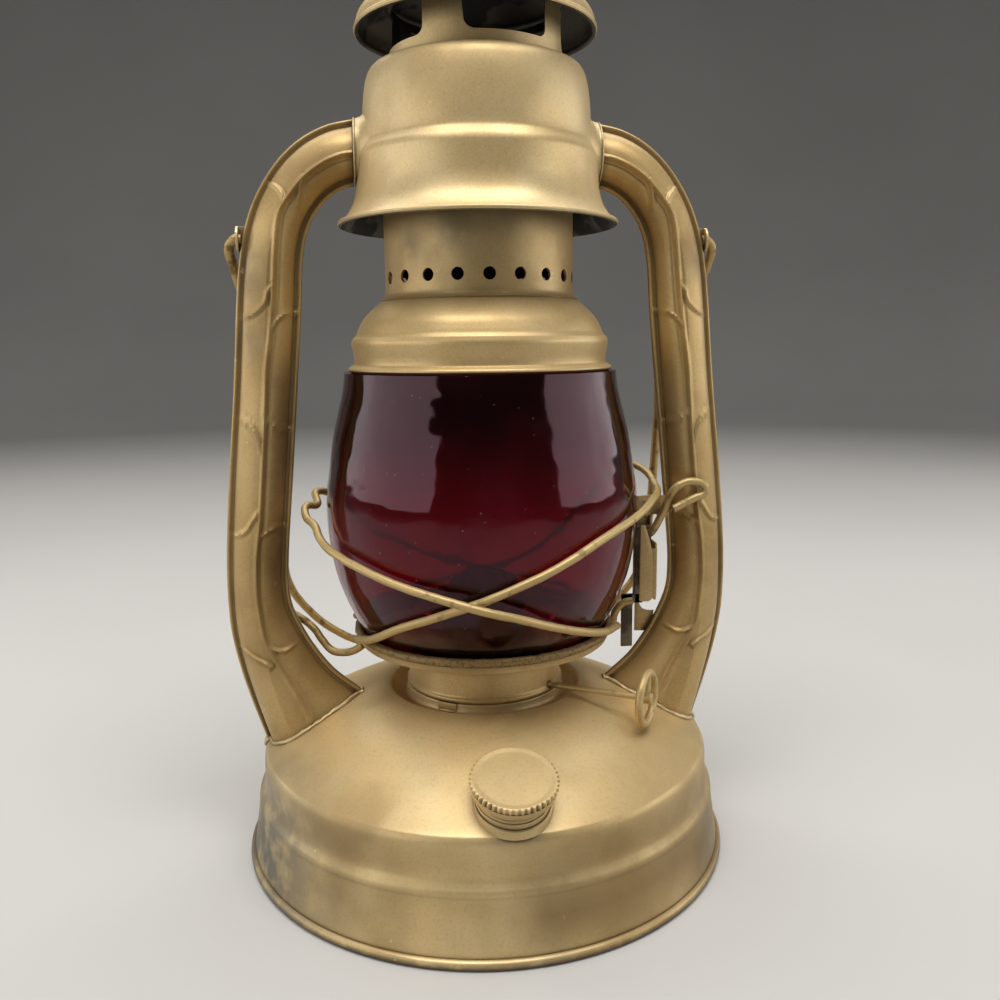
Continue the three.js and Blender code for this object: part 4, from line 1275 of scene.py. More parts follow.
@dataclass(frozen=True)
class Burner:
    """The burner's drum, its locking tab in the groove, the wick work and the raiser ring.

    Attributes:
        turn: the raiser's direction from +X, in degrees.
        shaft_offset: the raiser shaft's distance behind the wick.
        shaft_height: the shaft's height.
        latch: the tab's direction from +X, in degrees.
    """

    turn: float = -29.7
    shaft_offset: float = -5.3
    shaft_height: float = 59.2
    latch: float = -123.0

    def build(self, finishes: FinishSet) -> None:
        """Makes the drum, the tab, the shaft and the ring, and dresses the wick work.

        Args:
            finishes: the finishes.
        """
        aim = about("Z", self.turn)
        shaft = shifted(0.0, self.shaft_offset, self.shaft_height) @ about("Y", 90)
        skin = outline(
            [(0.0, 43.5), (16.0, 43.5)],
            [(16.0, 43.5), (16.4, 43.9), (16.4, 51.5)],
            [(16.4, 51.5), (26.6, 51.5), (27.2, 51.9), (27.3, 52.6)],
            [(27.3, 52.6), (27.3, 56.2), (27.5, 56.9), (28.0, 57.6), (28.0, 58.4), (27.5, 59.1), (27.3, 59.8)],
            [(27.3, 59.8), (27.3, 68.8)],
        )
        drum = cut(
            turned(spun(sheet_section(skin)), aim),
            turned(block((-8.9, -2.3, 38.0), (8.9, 2.3, 49.0)), aim),
            turned(rod(1.45, 16.0, 34.0), aim @ shaft),
        )
        place_piece("burner_drum_beaded", drum, Body.STAND, finishes.burner, ["burner_drum"])
        tab = block((27.7, -4.0, 53.3), (32.9, 4.0, 54.1), 0.3)
        fold = block((27.75, -3.6, 53.6), (28.35, 3.6, 57.0), 0.25)
        ramp = block((29.0, 3.6, 53.35), (32.4, 9.5, 53.8), 0.2)
        tab = turned(joined(tab, fold, ramp), about("Z", self.latch))
        place_piece("burner_lock_tab", tab, Body.STAND, finishes.wire, ["burner_latch_tab"])
        rider = aim @ shaft
        stick = turned(rod(1.0, -8.0, 60.0), rider)
        place_piece("raiser_shaft", stick, Body.RAISER, finishes.wire, ["wick_shaft"])
        ring = spun(rolled_edge(8.5, 0.0, 1.35), steps=72)
        spoke = turned(rod(1.3, 0.0, 8.5), about("Y", -90))
        hub = spun([(0.0, -1.9), (1.5, -1.9), (1.9, -1.5), (1.9, 1.5), (1.5, 1.9), (0.0, 1.9)], steps=32)
        knob = roughened(joined(ring, spoke, hub), 0.16, 2.6)
        knob = turned(knob, rider @ shifted(0.0, 0.0, 61.6) @ about("X", 4))
        place_piece("raiser_ring", knob, Body.RAISER, finishes.wire, ["wick_knob"])
        for name in ("wick_wheel_1", "wick_wheel_2", "burner_collar", "wick_tube"):
            dress_node(name, finishes.brass)
        for name in ("tank_top", "burner_deck", "burner_dome"):
            dress_node(name, finishes.soot)
        dress_node("wick", finishes.cotton)


@dataclass(frozen=True)
class Globe:
    """The ruby globe.

    Attributes:
        foot: the height of its lower edge.
        height: its height.
        belly: its greatest radius.
        wall: the glass's thickness.
        shares: its outline as shares of the belly and of the height.
    """

    foot: float = 75.0
    height: float = 92.7
    belly: float = 54.2
    wall: float = 2.2
    shares: tuple[tuple[float, float], ...] = (
        (0.757, 0), (0.832, 0.078), (0.895, 0.156), (0.95, 0.248), (0.983, 0.345), (1, 0.453),
        (0.996, 0.565), (0.981, 0.62), (0.941, 0.771), (0.908, 0.852), (0.87, 0.945), (0.859, 1),
    )

    def skin(self) -> list[Vector]:
        """The outer skin from the foot up."""
        return smoothed([(self.belly * r, self.foot + self.height * h) for r, h in self.shares], 5)

    def build(self, finishes: FinishSet) -> None:
        """Makes the glass from its outer and inner skins.

        Args:
            finishes: the finishes.
        """
        section = sheet_section(self.skin(), self.wall)
        place_piece("ruby_globe", spun(section, steps=128), Body.CARRIER, finishes.glass, ["globe"])


@dataclass(frozen=True)
class Carrier:
    """What the globe rides in: plate, rough ring, two guard hoops, two arms and the slide.

    Attributes:
        ring_radius: the ring's radius.
        ring_height: the ring's height.
        ring_wire: the ring wire's radius.
        wire: the hoops' and arms' wire radius.
        rise: the guard's height over the ring.
        spread: how far the guard stands off the globe at a share of 1.
        end_angle: where a hoop's ends meet the ring, in degrees from its high side.
        left_hoop: for points from the front round the high side to the rear, the degrees from the
            high side, the share of the rise and the share of the spread.
        right_hoop: the same for the right hoop.
    """

    ring_radius: float = 44.83
    ring_height: float = 77.9
    ring_wire: float = 1.4
    wire: float = 1.35
    rise: float = 52.6
    spread: float = 6.0
    end_angle: float = 163.8
    left_hoop: tuple[tuple[float, float, float], ...] = (
        (137.6, 0.08, 0.26), (111.5, 0.215, 0.27), (95.4, 0.327, 0.6), (82.9, 0.397, 0.66),
        (70.4, 0.46, 0.46), (57.2, 0.513, 0.31), (41.4, 0.582, 0.27), (27.2, 0.627, 0.29),
        (19.6, 0.65, 0.32), (14.5, 0.69, 0.42), (9.8, 0.742, 0.48), (4, 0.782, 0.88), (-1.5, 0.835, 0.92),
        (-5.6, 0.832, 0.38), (-8.4, 0.858, 0.5), (-11.4, 0.892, 0.7), (-17, 0.88, 0.34), (-25, 0.8, 0.45),
        (-34, 0.648, 0.36), (-55, 0.405, 0.38), (-75, 0.23, 0.56), (-95, 0.125, 0.8), (-115, 0.068, 0.83),
        (-140, 0.03, 0.71),
    )
    right_hoop: tuple[tuple[float, float, float], ...] = (
        (146.7, 0.07, 0.31), (128.1, 0.21, 0.06), (110.8, 0.33, 0.06), (97.2, 0.422, 0.07),
        (84.3, 0.517, 0.07), (71, 0.616, 0.08), (55.3, 0.732, 0.07), (31.3, 0.825, 0.27),
        (16.7, 0.875, 0.66), (7, 0.89, 1.05), (0, 0.915, 1.2), (-9.1, 0.985, 1.25), (-20, 1, 1),
        (-30, 0.84, 0.45), (-40, 0.61, 0.22), (-50, 0.42, 0.18), (-62, 0.26, 0.13), (-80, 0.145, 0.1),
        (-100, 0.087, 0.29), (-125, 0.046, 0.46), (-150, 0.015, 0.57),
    )

    def hoop(self, side: Side, shares: Sequence[tuple[float, float, float]]) -> Shape:
        """A guard hoop, high on one side.

        Args:
            side: its high side.
            shares: its points, as the fields give them.

        Returns:
            The hoop's mesh.
        """
        skin = Globe().skin()
        points = []
        for degrees, rise, spread in shares:
            height = self.ring_height + self.rise * rise
            points.append((degrees, height, radius_at(skin, height) + 0.3 + self.wire + self.spread * spread))
        end = self.ring_radius + self.ring_wire + self.wire + 0.45
        points = [(self.end_angle, self.ring_height, end), *points, (-self.end_angle, self.ring_height, end)]
        line = []
        for degrees, height, radius in points:
            angle = math.radians(degrees)
            line.append((side.value * radius * math.cos(angle), -radius * math.sin(angle), height))
        return swept(line, self.wire, lumps=0.12)

    def build(self, finishes: FinishSet) -> None:
        """Makes the plate, the ring, the hoops, the arms and the slide.

        Args:
            finishes: the finishes.
        """
        plate = spun(
            outline(
                [(26.9, 69.1), (30.6, 69.1), (31.4, 69.4), (38.0, 73.6), (38.8, 73.9)],
                [(38.8, 73.9), (43.8, 73.9), (44.4, 74.2), (44.53, 74.8), (44.53, 76.2)],
                [(44.53, 76.2), (43.73, 76.2)],
                [(43.73, 76.2), (43.73, 75.0), (43.4, 74.7), (38.7, 74.7), (37.6, 74.3), (31.0, 70.1), (30.4, 69.9)],
                [(30.4, 69.9), (26.9, 69.9)],
            )
        )
        aims = [about("Z", 22.5 * i + 11.25) for i in range(16)]
        plate = cut(plate, *(turned(rod(1.6, 60.0, 84.0, 20), shifted(34.7, 0.0, 0.0), aim) for aim in aims))
        place_piece("globe_plate_pierced", plate, Body.CARRIER, finishes.burner, ["globe_plate"])
        ring = spun(rolled_edge(self.ring_radius, self.ring_height, self.ring_wire, 16), steps=220)
        ring = roughened(ring, 0.3, 2.2)
        place_piece("carrier_ring_rough", ring, Body.CARRIER, finishes.rusty_wire, ["carrier_ring"])
        for side, word, shares in ((Side.LEFT, "left", self.left_hoop), (Side.RIGHT, "right", self.right_hoop)):
            hoop = self.hoop(side, shares)
            place_piece(f"hoop_{word}", hoop, Body.CARRIER, finishes.wire, [f"guard_hoop_{word}"])
        guide = [(-43.8, -2.7, 71.8), (-47.0, -1.6, 69.6), (-51.0, 0.0, 68.6), (-54.8, 1.9, 69.0), (-58.1, 4.0, 72.2)]
        guide += [(-61.4, 6.6, 76.3), (-65.2, 9.2, 78.8), (-71.5, 11.8, 81.9), (-80.6, 12.0, 86.4)]
        guide_mesh = swept(guide, self.wire, lumps=0.1)
        place_piece("guide_arm_bent", guide_mesh, Body.CARRIER, finishes.bail_wire, ["guide_arm"])
        lift = [(47.88, -0.88, 74.7), (47.88, -1.32, 77.37), (48.96, -2.2, 80.69), (51.39, -2.2, 82.8)]
        lift += [(54.63, -2.2, 83.45)]
        place_piece("lift_arm_bent", swept(lift, self.wire), Body.CARRIER, finishes.wire, ["lift_arm"])
        slide = joined(
            block((55.9, -0.55, 82.0), (58.9, 0.45, 111.4)),
            block((51.0, -0.55, 82.0), (58.9, 0.45, 85.5)),
            block((51.0, -0.55, 65.5), (55.2, 0.45, 85.5)),
            block((55.9, -2.1, 110.4), (60.8, 0.45, 111.4)),
        )
        place_piece("lift_slide_strip", slide, Body.CARRIER, finishes.bare_steel, ["lift_slide"])


@dataclass(frozen=True)
class SideTube:
    """One air tube of two pressed halves with a leaf-vein relief and a seam flange.

    Attributes:
        side: which side of the lantern it is on.
        port: the port's distance from the axis and height.
        reach: the outer edge's greatest distance from the axis.
        foot: the height of the dome's shoulder.
        depth: the depth of a half.
        flange: the seam flange's width.
        stations: from the port down to the foot, the outer edge's reach and height shares, the inner
            edge's, the depth share and how far the crest lies towards the outer edge.
        vein: the raised stem's points on the left side, from the port down.
        twigs: the short ribs and branches, each from the stem outwards.
        columns: the steps across a half.
        steps: the steps from one station to the next.
        rim: across the flange from its edge, the share of its width and the height of its rolled bead.
        groove: beside a rib, the groove's depth as a share of the rib's height, and its distance and
            width as shares of the rib's half width.
        breadth: the power that flattens a half's middle.
        arch: the share and the power of the section's round part.
        peak: the share and the power of its ridge.
        seam: half the gap between the two halves.
        sunk: how far under the dome's skin a half reaches.
        nearby: how near a rib's point lies to a place that the rib raises.
    """

    side: Side
    port: tuple[float, float] = (40.9, 238.8)
    reach: float = 89.3
    foot: float = 37.2
    depth: float = 8.6
    flange: float = 2.2
    stations: tuple[tuple[float, ...], ...] = (
        (0, 1.051, 0, 0.949, 0.95, 0), (0.167, 1.042, 0.074, 0.944, 0.95, 0),
        (0.329, 1.023, 0.157, 0.9325, 0.95, 0), (0.467, 0.996, 0.229, 0.916, 0.95, 0),
        (0.576, 0.964, 0.287, 0.896, 0.95, 0), (0.676, 0.923, 0.331, 0.872, 0.95, 0),
        (0.752, 0.872, 0.357, 0.845, 0.96, 0), (0.793, 0.822, 0.374, 0.8125, 0.98, 0),
        (0.82, 0.768, 0.388, 0.763, 1, 0), (0.87, 0.634, 0.438, 0.634, 1, 0),
        (0.948, 0.46, 0.51, 0.46, 1, 0), (0.992, 0.336, 0.56, 0.341, 1, 0),
        (1, 0.272, 0.57, 0.292, 1.02, 0), (0.99, 0.207, 0.558, 0.252, 1.08, 0.05),
        (0.944, 0.143, 0.504, 0.215, 1.22, 0.1), (0.874, 0.078, 0.405, 0.17, 1.4, 0.2),
        (0.798, 0.019, 0.275, 0.127, 1.54, 0.3), (0.742, -0.026, 0.116, 0.093, 1.6, 0.3),
        (0.705, -0.056, -0.008, 0.0685, 1.6, 0.3),
    )
    vein: tuple[tuple[float, float], ...] = (
        (39.7, 237.6), (44.8, 236.7), (49.5, 234.8), (54.4, 231.7), (57.6, 228.9), (60.3, 225.8),
        (62.6, 222.8), (64.6, 219.7), (65.8, 215.1), (66.8, 207.3), (68.3, 191.6), (69.9, 178.9),
        (71.4, 169.2), (72.2, 159.5), (73.3, 146.3), (74.6, 132.9), (76, 119.3), (77.9, 105.6),
        (78.4, 95.1), (78, 88), (77.1, 80.9), (75.7, 75.4), (72.7, 69.1), (68.9, 62.3), (64.8, 54.7),
        (62.1, 47.9),
    )
    twigs: tuple[tuple[tuple[float, float], ...], ...] = (
        ((63, 222.5), (63.8, 225), (65.6, 227.1), (68, 228.6)),
        ((56.7, 229.9), (57.8, 226.6), (58.7, 221.3)),
        ((68.4, 195.8), (69.8, 193.9), (70.6, 191), (73, 188.5), (75.6, 186.9), (79.4, 186.3)),
        ((69, 185.9), (68.8, 182.7), (67.1, 185.3), (64.4, 187.2), (61.9, 187.8), (59.9, 188.4)),
        ((73.9, 141.2), (75.3, 146.3), (77, 150.3), (79.7, 152.7), (82.4, 153)),
        ((73.1, 155.5), (72.3, 152.8), (69.5, 150.4), (66.3, 149.4), (63.4, 149.3)),
        ((75.6, 122.6), (78.4, 119.3), (81.2, 115.3), (84.6, 113.7), (87.6, 114.1)),
        ((78.1, 106.9), (76.8, 112.4), (74.7, 114.4), (71.3, 116), (67, 116.2)),
        ((74.8, 68.3), (77.1, 69.9), (80.4, 71.2), (83.3, 72.8), (86, 74)),
        ((77.5, 81.4), (76.4, 76.7), (73.5, 74), (70.1, 73.1), (66, 74.7)),
    )
    columns: int = 72
    steps: int = 27
    rim: tuple[tuple[float, float], ...] = ((1.0, 0.1), (0.87, 0.45), (0.66, 0.52), (0.43, 0.2), (0.2, 0.0))
    groove: tuple[float, float, float] = (0.38, 2.2, 0.7)
    breadth: float = 2.3
    arch: tuple[float, float] = (0.84, 0.62)
    peak: tuple[float, float] = (0.16, 1.4)
    seam: float = 0.15
    sunk: float = 1.6
    nearby: float = 5.0

    def rows(self) -> list[tuple[Vector, Vector, float, float]]:
        """The stations joined by smooth lines.

        Returns:
            For each step from the port to the foot, the outer edge, the inner edge, the depth and the lean.
        """
        wide, tall = self.reach - self.port[0], self.port[1] - self.foot
        # The lean counts for millimetres here, so that the line stays smooth in it too.
        weight = 20
        places = []
        for out_x, out_z, in_x, in_z, depth, lean in self.stations:
            outer = (self.port[0] + wide * out_x, self.foot + tall * out_z)
            inner = (self.port[0] + wide * in_x, self.foot + tall * in_z)
            places.append(Vector((*outer, *inner, depth * self.depth, weight * lean)))
        line = smoothed(places, self.steps)
        return [(Vector(place[:2]), Vector(place[2:4]), place[4], place[5] / weight) for place in line]

    def relief(self, x: float, z: float, lines: Sequence[tuple[Sequence[Vector], float, float]]) -> float:
        """The height of the raised stem, its ribs and the groove beside them, at a place on a tube.

        Args:
            x: the distance from the lantern's middle.
            z: the height.
            lines: the stem first and then the ribs, each with its points, height and half width.

        Returns:
            The height over the plain tube.
        """
        place = Vector((x, z))
        deep, aside, narrow = self.groove
        height = groove = 0.0
        for points, tall, wide in lines:
            nearest, share, beside = math.inf, 0.0, 0.0
            for i, (a, b) in enumerate(zip(points, points[1:])):
                if abs(a.y - z) > self.nearby or abs(a.x - x) > self.nearby:
                    continue
                along = b - a
                t = min(1.0, max(0.0, (place - a).dot(along) / along.length_squared))
                away = place - a - along * t
                if away.length < nearest:
                    nearest, share, beside = away.length, (i + t) / (len(points) - 1), away.x
            if nearest < 4 * wide:
                fade = 1.0 if points is lines[0][0] else min(1.0, 4 * (1.1 - share))
                height = max(height, tall * fade * bell_curve(nearest, wide))
                if beside < 0:
                    groove = max(groove, deep * tall * fade * bell_curve(nearest - aside * wide, narrow * wide))
        return height - groove * (1 - min(1.0, height))

    def half(self, face: Face, heights: dict[tuple[int, int], float]) -> tuple[Shape, list[Vector]]:
        """One pressed half.

        Args:
            face: which half it is.
            heights: the relief's height by row and column, shared by all halves and filled by the first.

        Returns:
            The half's mesh and the line where it meets the dome.
        """
        fount = Fount()
        rows = self.rows()
        lines = [(smoothed(self.vein, 3), 0.95, 0.66)] + [(smoothed(twig, 4), 0.8, 0.56) for twig in self.twigs]
        mesh = bmesh.new()
        skins = []
        for inside in (False, True):
            wall = SHEET if inside else 0.0
            made = bmesh.ops.create_grid(mesh, x_segments=self.columns, y_segments=len(rows) - 1, size=0.5)["verts"]
            made.sort(key=lambda corner: (round(corner.co.y, 7), corner.co.x))
            skins.append(made)
            for k, corner in enumerate(made):
                row, column = divmod(k, self.columns + 1)
                outer, inner, depth, lean = rows[row]
                middle, arm = (outer + inner) / 2, (outer - inner) / 2
                brim = 1 - (self.flange + wall) / arm.length
                cross = (column - self.columns / 2) / (self.columns / 2 - len(self.rim))
                if min(column, self.columns - column) < len(self.rim):
                    share, bulge = self.rim[min(column, self.columns - column)]
                    way = math.copysign(brim + (1 - brim) * share, cross)
                else:
                    way = (cross + lean * (1 - cross * cross)) * brim
                    off = min(1.0, abs(cross))
                    arch = self.arch[0] * (1 - off**self.breadth) ** self.arch[1]
                    bulge = (arch + self.peak[0] * (1 - off) ** self.peak[1]) * (depth - SHEET)
                place = middle + arm * way
                if not inside:
                    if (row, column) not in heights:
                        heights[row, column] = self.relief(place.x, place.y, lines)
                    bulge += heights[row, column]
                depth_at = self.seam + SHEET - wall + bulge
                corner.co = Vector((self.side.value * place.x, face.value * depth_at, place.y)) * MM
        foot_line = []
        stride = self.columns + 1
        for column in range(stride):
            for row in range(len(rows) - 1, 0, -1):
                upper, lower = (skins[0][r * stride + column].co / MM for r in (row - 1, row))
                over = upper.z - fount.dome_height(upper.xy.length)
                under = lower.z - fount.dome_height(lower.xy.length)
                if over > 0 >= under:
                    foot_line.append(upper.lerp(lower, over / (over - under)))
                    break
        sunk = []
        for corner in mesh.verts:
            radius = corner.co.xy.length / MM
            if radius < fount.shoulder[0] and corner.co.z / MM < fount.dome_height(radius) - self.sunk:
                sunk.append(corner)
        bmesh.ops.delete(mesh, geom=sunk, context="VERTS")
        rim = [edge for edge in mesh.edges if edge.is_boundary]
        bmesh.ops.bridge_loops(mesh, edges=rim)
        return mesh, foot_line

    def build(self, finishes: FinishSet, heights: dict[tuple[int, int], float]) -> None:
        """Makes both halves and the solder line round the foot.

        Args:
            finishes: the finishes.
            heights: the relief's height by row and column, which the tubes share.
        """
        word = self.side.name.lower()
        line = []
        for face in Face:
            mesh, foot_line = self.half(face, heights)
            name = f"{word}_tube_{face.name.lower()}"
            place_piece(f"{name}_pressed", mesh, Body.STAND, finishes.tubes, [name], 50.0)
            line = line + foot_line[::3] if face is Face.FRONT else line + foot_line[::-3]
            if face is Face.FRONT:
                line.append(Vector((self.side.value * 78.9, 0.0, 35.6)))
        solder = roughened(swept(line, 1.05), 0.4, 2.4)
        place_piece(f"{word}_foot_solder", solder, Body.STAND, finishes.tank)


@dataclass(frozen=True)
class LiftWork:
    """The channel by the right tube, its lug and the finger lever.

    Attributes:
        web: the channel web's outer face.
        pivot: the lever pivot's distance from the axis and height.
        wire: the lever wire's radius.
        loop: the loop's reach.
        loop_shares: the finger loop from the pivot up, over, out and back, as shares of its reach.
    """

    web: float = 61.88
    pivot: tuple[float, float] = (64.58, 116.3)
    wire: float = 1.4
    loop: float = 13.8
    loop_shares: tuple[tuple[float, float], ...] = (
        (0.46, 0.873), (0.66, 0.88), (0.86, 0.82), (0.965, 0.685), (0.905, 0.55), (0.7, 0.475),
        (0.43, 0.34), (0.13, 0.2),
    )

    def build(self, finishes: FinishSet) -> None:
        """Makes the channel, the lug and the lever.

        Args:
            finishes: the finishes.
        """
        web, left, inside = self.web, self.web - 6.3, self.web - SHEET
        foot = [(56.4, 71.0), (60.2, 70.8), (62.0, 73.2), (63.4, 76.6), (63.7, 78.5), (61.2, 78.6), (59.3, 79.3)]
        foot += [(58.2, 81.0), (57.9, 84.0), (web, 85.0), (web, 121.0), (left, 121.0), (left, 84.0), (56.4, 82.5)]
        leg = [(55.4, 85.3), (55.6, 84.9), (58.9, 84.7), (60.1, 85.6), (60.4, 89.0), (60.4, 97.0), (60.0, 102.6)]
        leg += [(59.1, 107.0), (57.9, 110.4), (57.3, 112.6), (55.9, 112.9), (55.5, 112.3)]
        channel = joined(
            prism(foot, 0.75, 1.55, 0.15),
            block((inside, -7.6, 85.0), (web, 1.55, 106.0)),
            block((inside, -0.55, 105.5), (web, 1.55, 121.0)),
            block((59.0, -8.0, 86.0), (web, -7.2, 104.0)),
            prism(leg, -8.6, -7.8, 0.2),
        )
        place_piece("lift_channel_folded", channel, Body.STAND, finishes.hardware, ["lift_channel"])
        reach = self.pivot[0] + 2.2
        # The plate keeps clear of the lever's tip, which swings up beside it as the slide rises.
        plate = [(59.0, 114.9), (60.4, 115.4), (reach - 1.8, 115.8), (reach, 117.6), (reach, 122.0), (62.5, 122.9)]
        plate += [(left, 122.4), (left, 120.9), (59.0, 120.6)]
        lug = prism(plate, -3.1, -2.3, 0.15)
        hole = turned(rod(1.2, -4.0, 4.0), about("X", 90), shifted(self.pivot[0], -2.7, self.pivot[1]))
        lug = joined(cut(lug, hole), block((reach - SHEET, -3.1, 118.2), (reach, -1.25, 121.6)))
        place_piece("lever_lug_folded", lug, Body.STAND, finishes.hardware, ["lever_lug"])
        x, z = self.pivot
        line = [
            (60.54, -0.85, 108.7),
            (60.54, -3.2, 108.7),
            (61.7, -5.0, 111.2),
            (63.9, -6.6, 116.6),
            (65.5, -9.2, 122.6),
            (67.2, -11.3, 126.4),
            *((x + self.loop * a, -11.6, z + self.loop * b) for a, b in self.loop_shares),
        ]
        lever = joined(
            swept(line, self.wire, lumps=0.08),
            turned(rod(0.9, -3.2, 3.4), about("X", 90), shifted(x, -4.4, z)),
            turned(rod(1.8, -0.4, 0.4), about("X", 90), shifted(x, -1.6, z)),
        )
        place_piece("finger_lever", lever, Body.LEVER, finishes.wire, ["lift_lever"])


@dataclass(frozen=True)
class Head:
    """The hood with its two ports, the windowed crown, the top cap and the bail ears.

    Attributes:
        mouth: the radius of the opening in its top.
        port_height: the ports' height.
        crown: the crown's radius.
        crown_foot: the crown's lower edge.
        windows: each window's direction from the front and its half width, in degrees.
        cap: the top cap's radius.
        cap_shares: the cap's outline from its rim to near its middle, as shares of its radius and rise.
    """

    mouth: float = 26.6
    port_height: float = 238.8
    crown: float = 28.1
    crown_foot: float = 265.2
    windows: tuple[tuple[float, float], ...] = ((14.1, 29.4), (100.9, 33.6), (193.2, 33.6), (285.6, 33.6))
    cap: float = 39.4
    cap_shares: tuple[tuple[float, float], ...] = (
        (0.985, 0.05), (0.985, 0.16), (0.954, 0.353), (0.873, 0.5), (0.734, 0.68), (0.5, 0.86),
        (0.25, 0.965),
    )

    def hood(self, finishes: FinishSet) -> None:
        """Makes the hood: flared rim, band, step, upper band and rounded top, with a port on each side.

        Args:
            finishes: the finishes.
        """
        skin = outline(
            [(46.3, 215.9), (44.2, 218.1), (41.9, 221.6), (40.5, 226.3), (40.1, 231.0), (39.95, 235.2)],
            [(39.95, 235.2), (39.85, 236.5), (39.4, 237.9), (38.6, 239.3), (38.0, 240.6), (37.75, 242.4)],
            [(37.75, 242.4), (37.5, 249.0), (37.1, 254.6), (36.5, 259.0), (35.6, 262.2), (34.3, 264.1), (32.6, 264.9)],
            [(32.6, 264.9), (self.mouth, 264.9)],
        )
        shell = spun(sheet_section(skin), rolled_edge(46.05, 216.1, 0.75, 12))
        ports = []
        for side in Side:
            fillet = outline([(13.6, 34.0), (13.6, 35.4)], [(13.6, 35.4), (12.2, 36.9), (11.2, 38.2), (10.7, 39.5)])
            lip = rounded_corner((10.55, 40.2), 0.4, -60, 90, 6)
            port = spun([(7.6, 34.0), *fillet, *lip, (7.6, 40.6)], steps=96)
            ports.append(turned(port, about("Y", 90 * side.value), shifted(0.0, 0.0, self.port_height)))
        hood = joined(shell, *ports)
        place_piece("hood_pressed", hood, Body.STAND, finishes.head, ["hood"], soot_and_shade_lining=finishes.soot)
        dress_node("flue_guide", finishes.soot)

    def crown_ring(self, finishes: FinishSet) -> None:
        """Makes the crown: a ring with four windows cut out of it, which leave four posts.

        Args:
            finishes: the finishes.
        """
        top = self.crown_foot + 19.4
        inside, foot = self.crown - SHEET, self.crown_foot
        wall = spun([(inside, foot), (self.crown, foot), (self.crown, top), (inside, top)], steps=192)
        low, high = self.crown_foot + 4.2, self.crown_foot + 16.6
        tools = []
        for aim, half_angle in self.windows:
            half = self.crown * math.sin(math.radians(half_angle))
            opening = [
                (-half, high),
                *rounded_corner((2.6 - half, low + 2.6), 2.6, 180, 270),
                *rounded_corner((half - 4.2, low + 3.4), 3.4, 270, 345),
                (half, high),
            ]
            tools.append(turned(prism(opening, 10.0, 40.0), about("Z", aim + 180)))
        mesh = cut(wall, *tools)
        place_piece("crown_windowed", mesh, Body.STAND, finishes.head, ["crown"], soot_and_shade_lining=finishes.soot)

    def top(self, finishes: FinishSet) -> None:
        """Makes the domed top cap with its rolled rim.

        Args:
            finishes: the finishes.
        """
        foot = self.crown_foot + 10.19
        rise = 15.6
        skin = smoothed([(self.cap * r, foot + rise * h) for r, h in self.cap_shares] + [(0.0, foot + rise)], 6)
        mesh = spun(sheet_section(skin), rolled_edge(self.cap - 0.9, foot + 0.9, 0.9))
        place_piece("top_cap_domed", mesh, Body.STAND, finishes.head, ["top_cap"], soot_and_shade_lining=finishes.soot)

    def ears(self, finishes: FinishSet) -> None:
        """Makes the two ears that hold the bail's hooks.

        Args:
            finishes: the finishes.
        """
        for side in Side:
            face = side.value * 78.82
            corners = [(1.55, -4.2), *rounded_corner((0.0, 0.0), 1.0, 270, 90, 12), (1.55, 4.2)]
            round_end = [(y * 3.6 if y < 0 else y, z * 4.2 if abs(z) <= 1 else z) for y, z in corners]
            ear = prism([(-y, z) for y, z in round_end], -0.4, 0.4, 0.12)
            hole = turned(rod(2.0, -4.0, 4.0), about("X", 90))
            ear = turned(cut(ear, hole), about("Z", -90), shifted(face + side.value * 0.4, 0.5, 211.5))
            near, far = sorted((face + side.value * 0.8, side.value * 75.6))
            foot = block((near, 1.25, 207.3), (far, 2.05, 215.7))
            word = side.name.lower()
            place_piece(f"ear_{word}", joined(ear, foot), Body.STAND, finishes.head, [f"bail_ear_{word}"])

    def build(self, finishes: FinishSet) -> None:
        """Makes the hood, the crown, the top cap and the ears.

        Args:
            finishes: the finishes.
        """
        self.hood(finishes)
        self.crown_ring(finishes)
        self.top(finishes)
        self.ears(finishes)


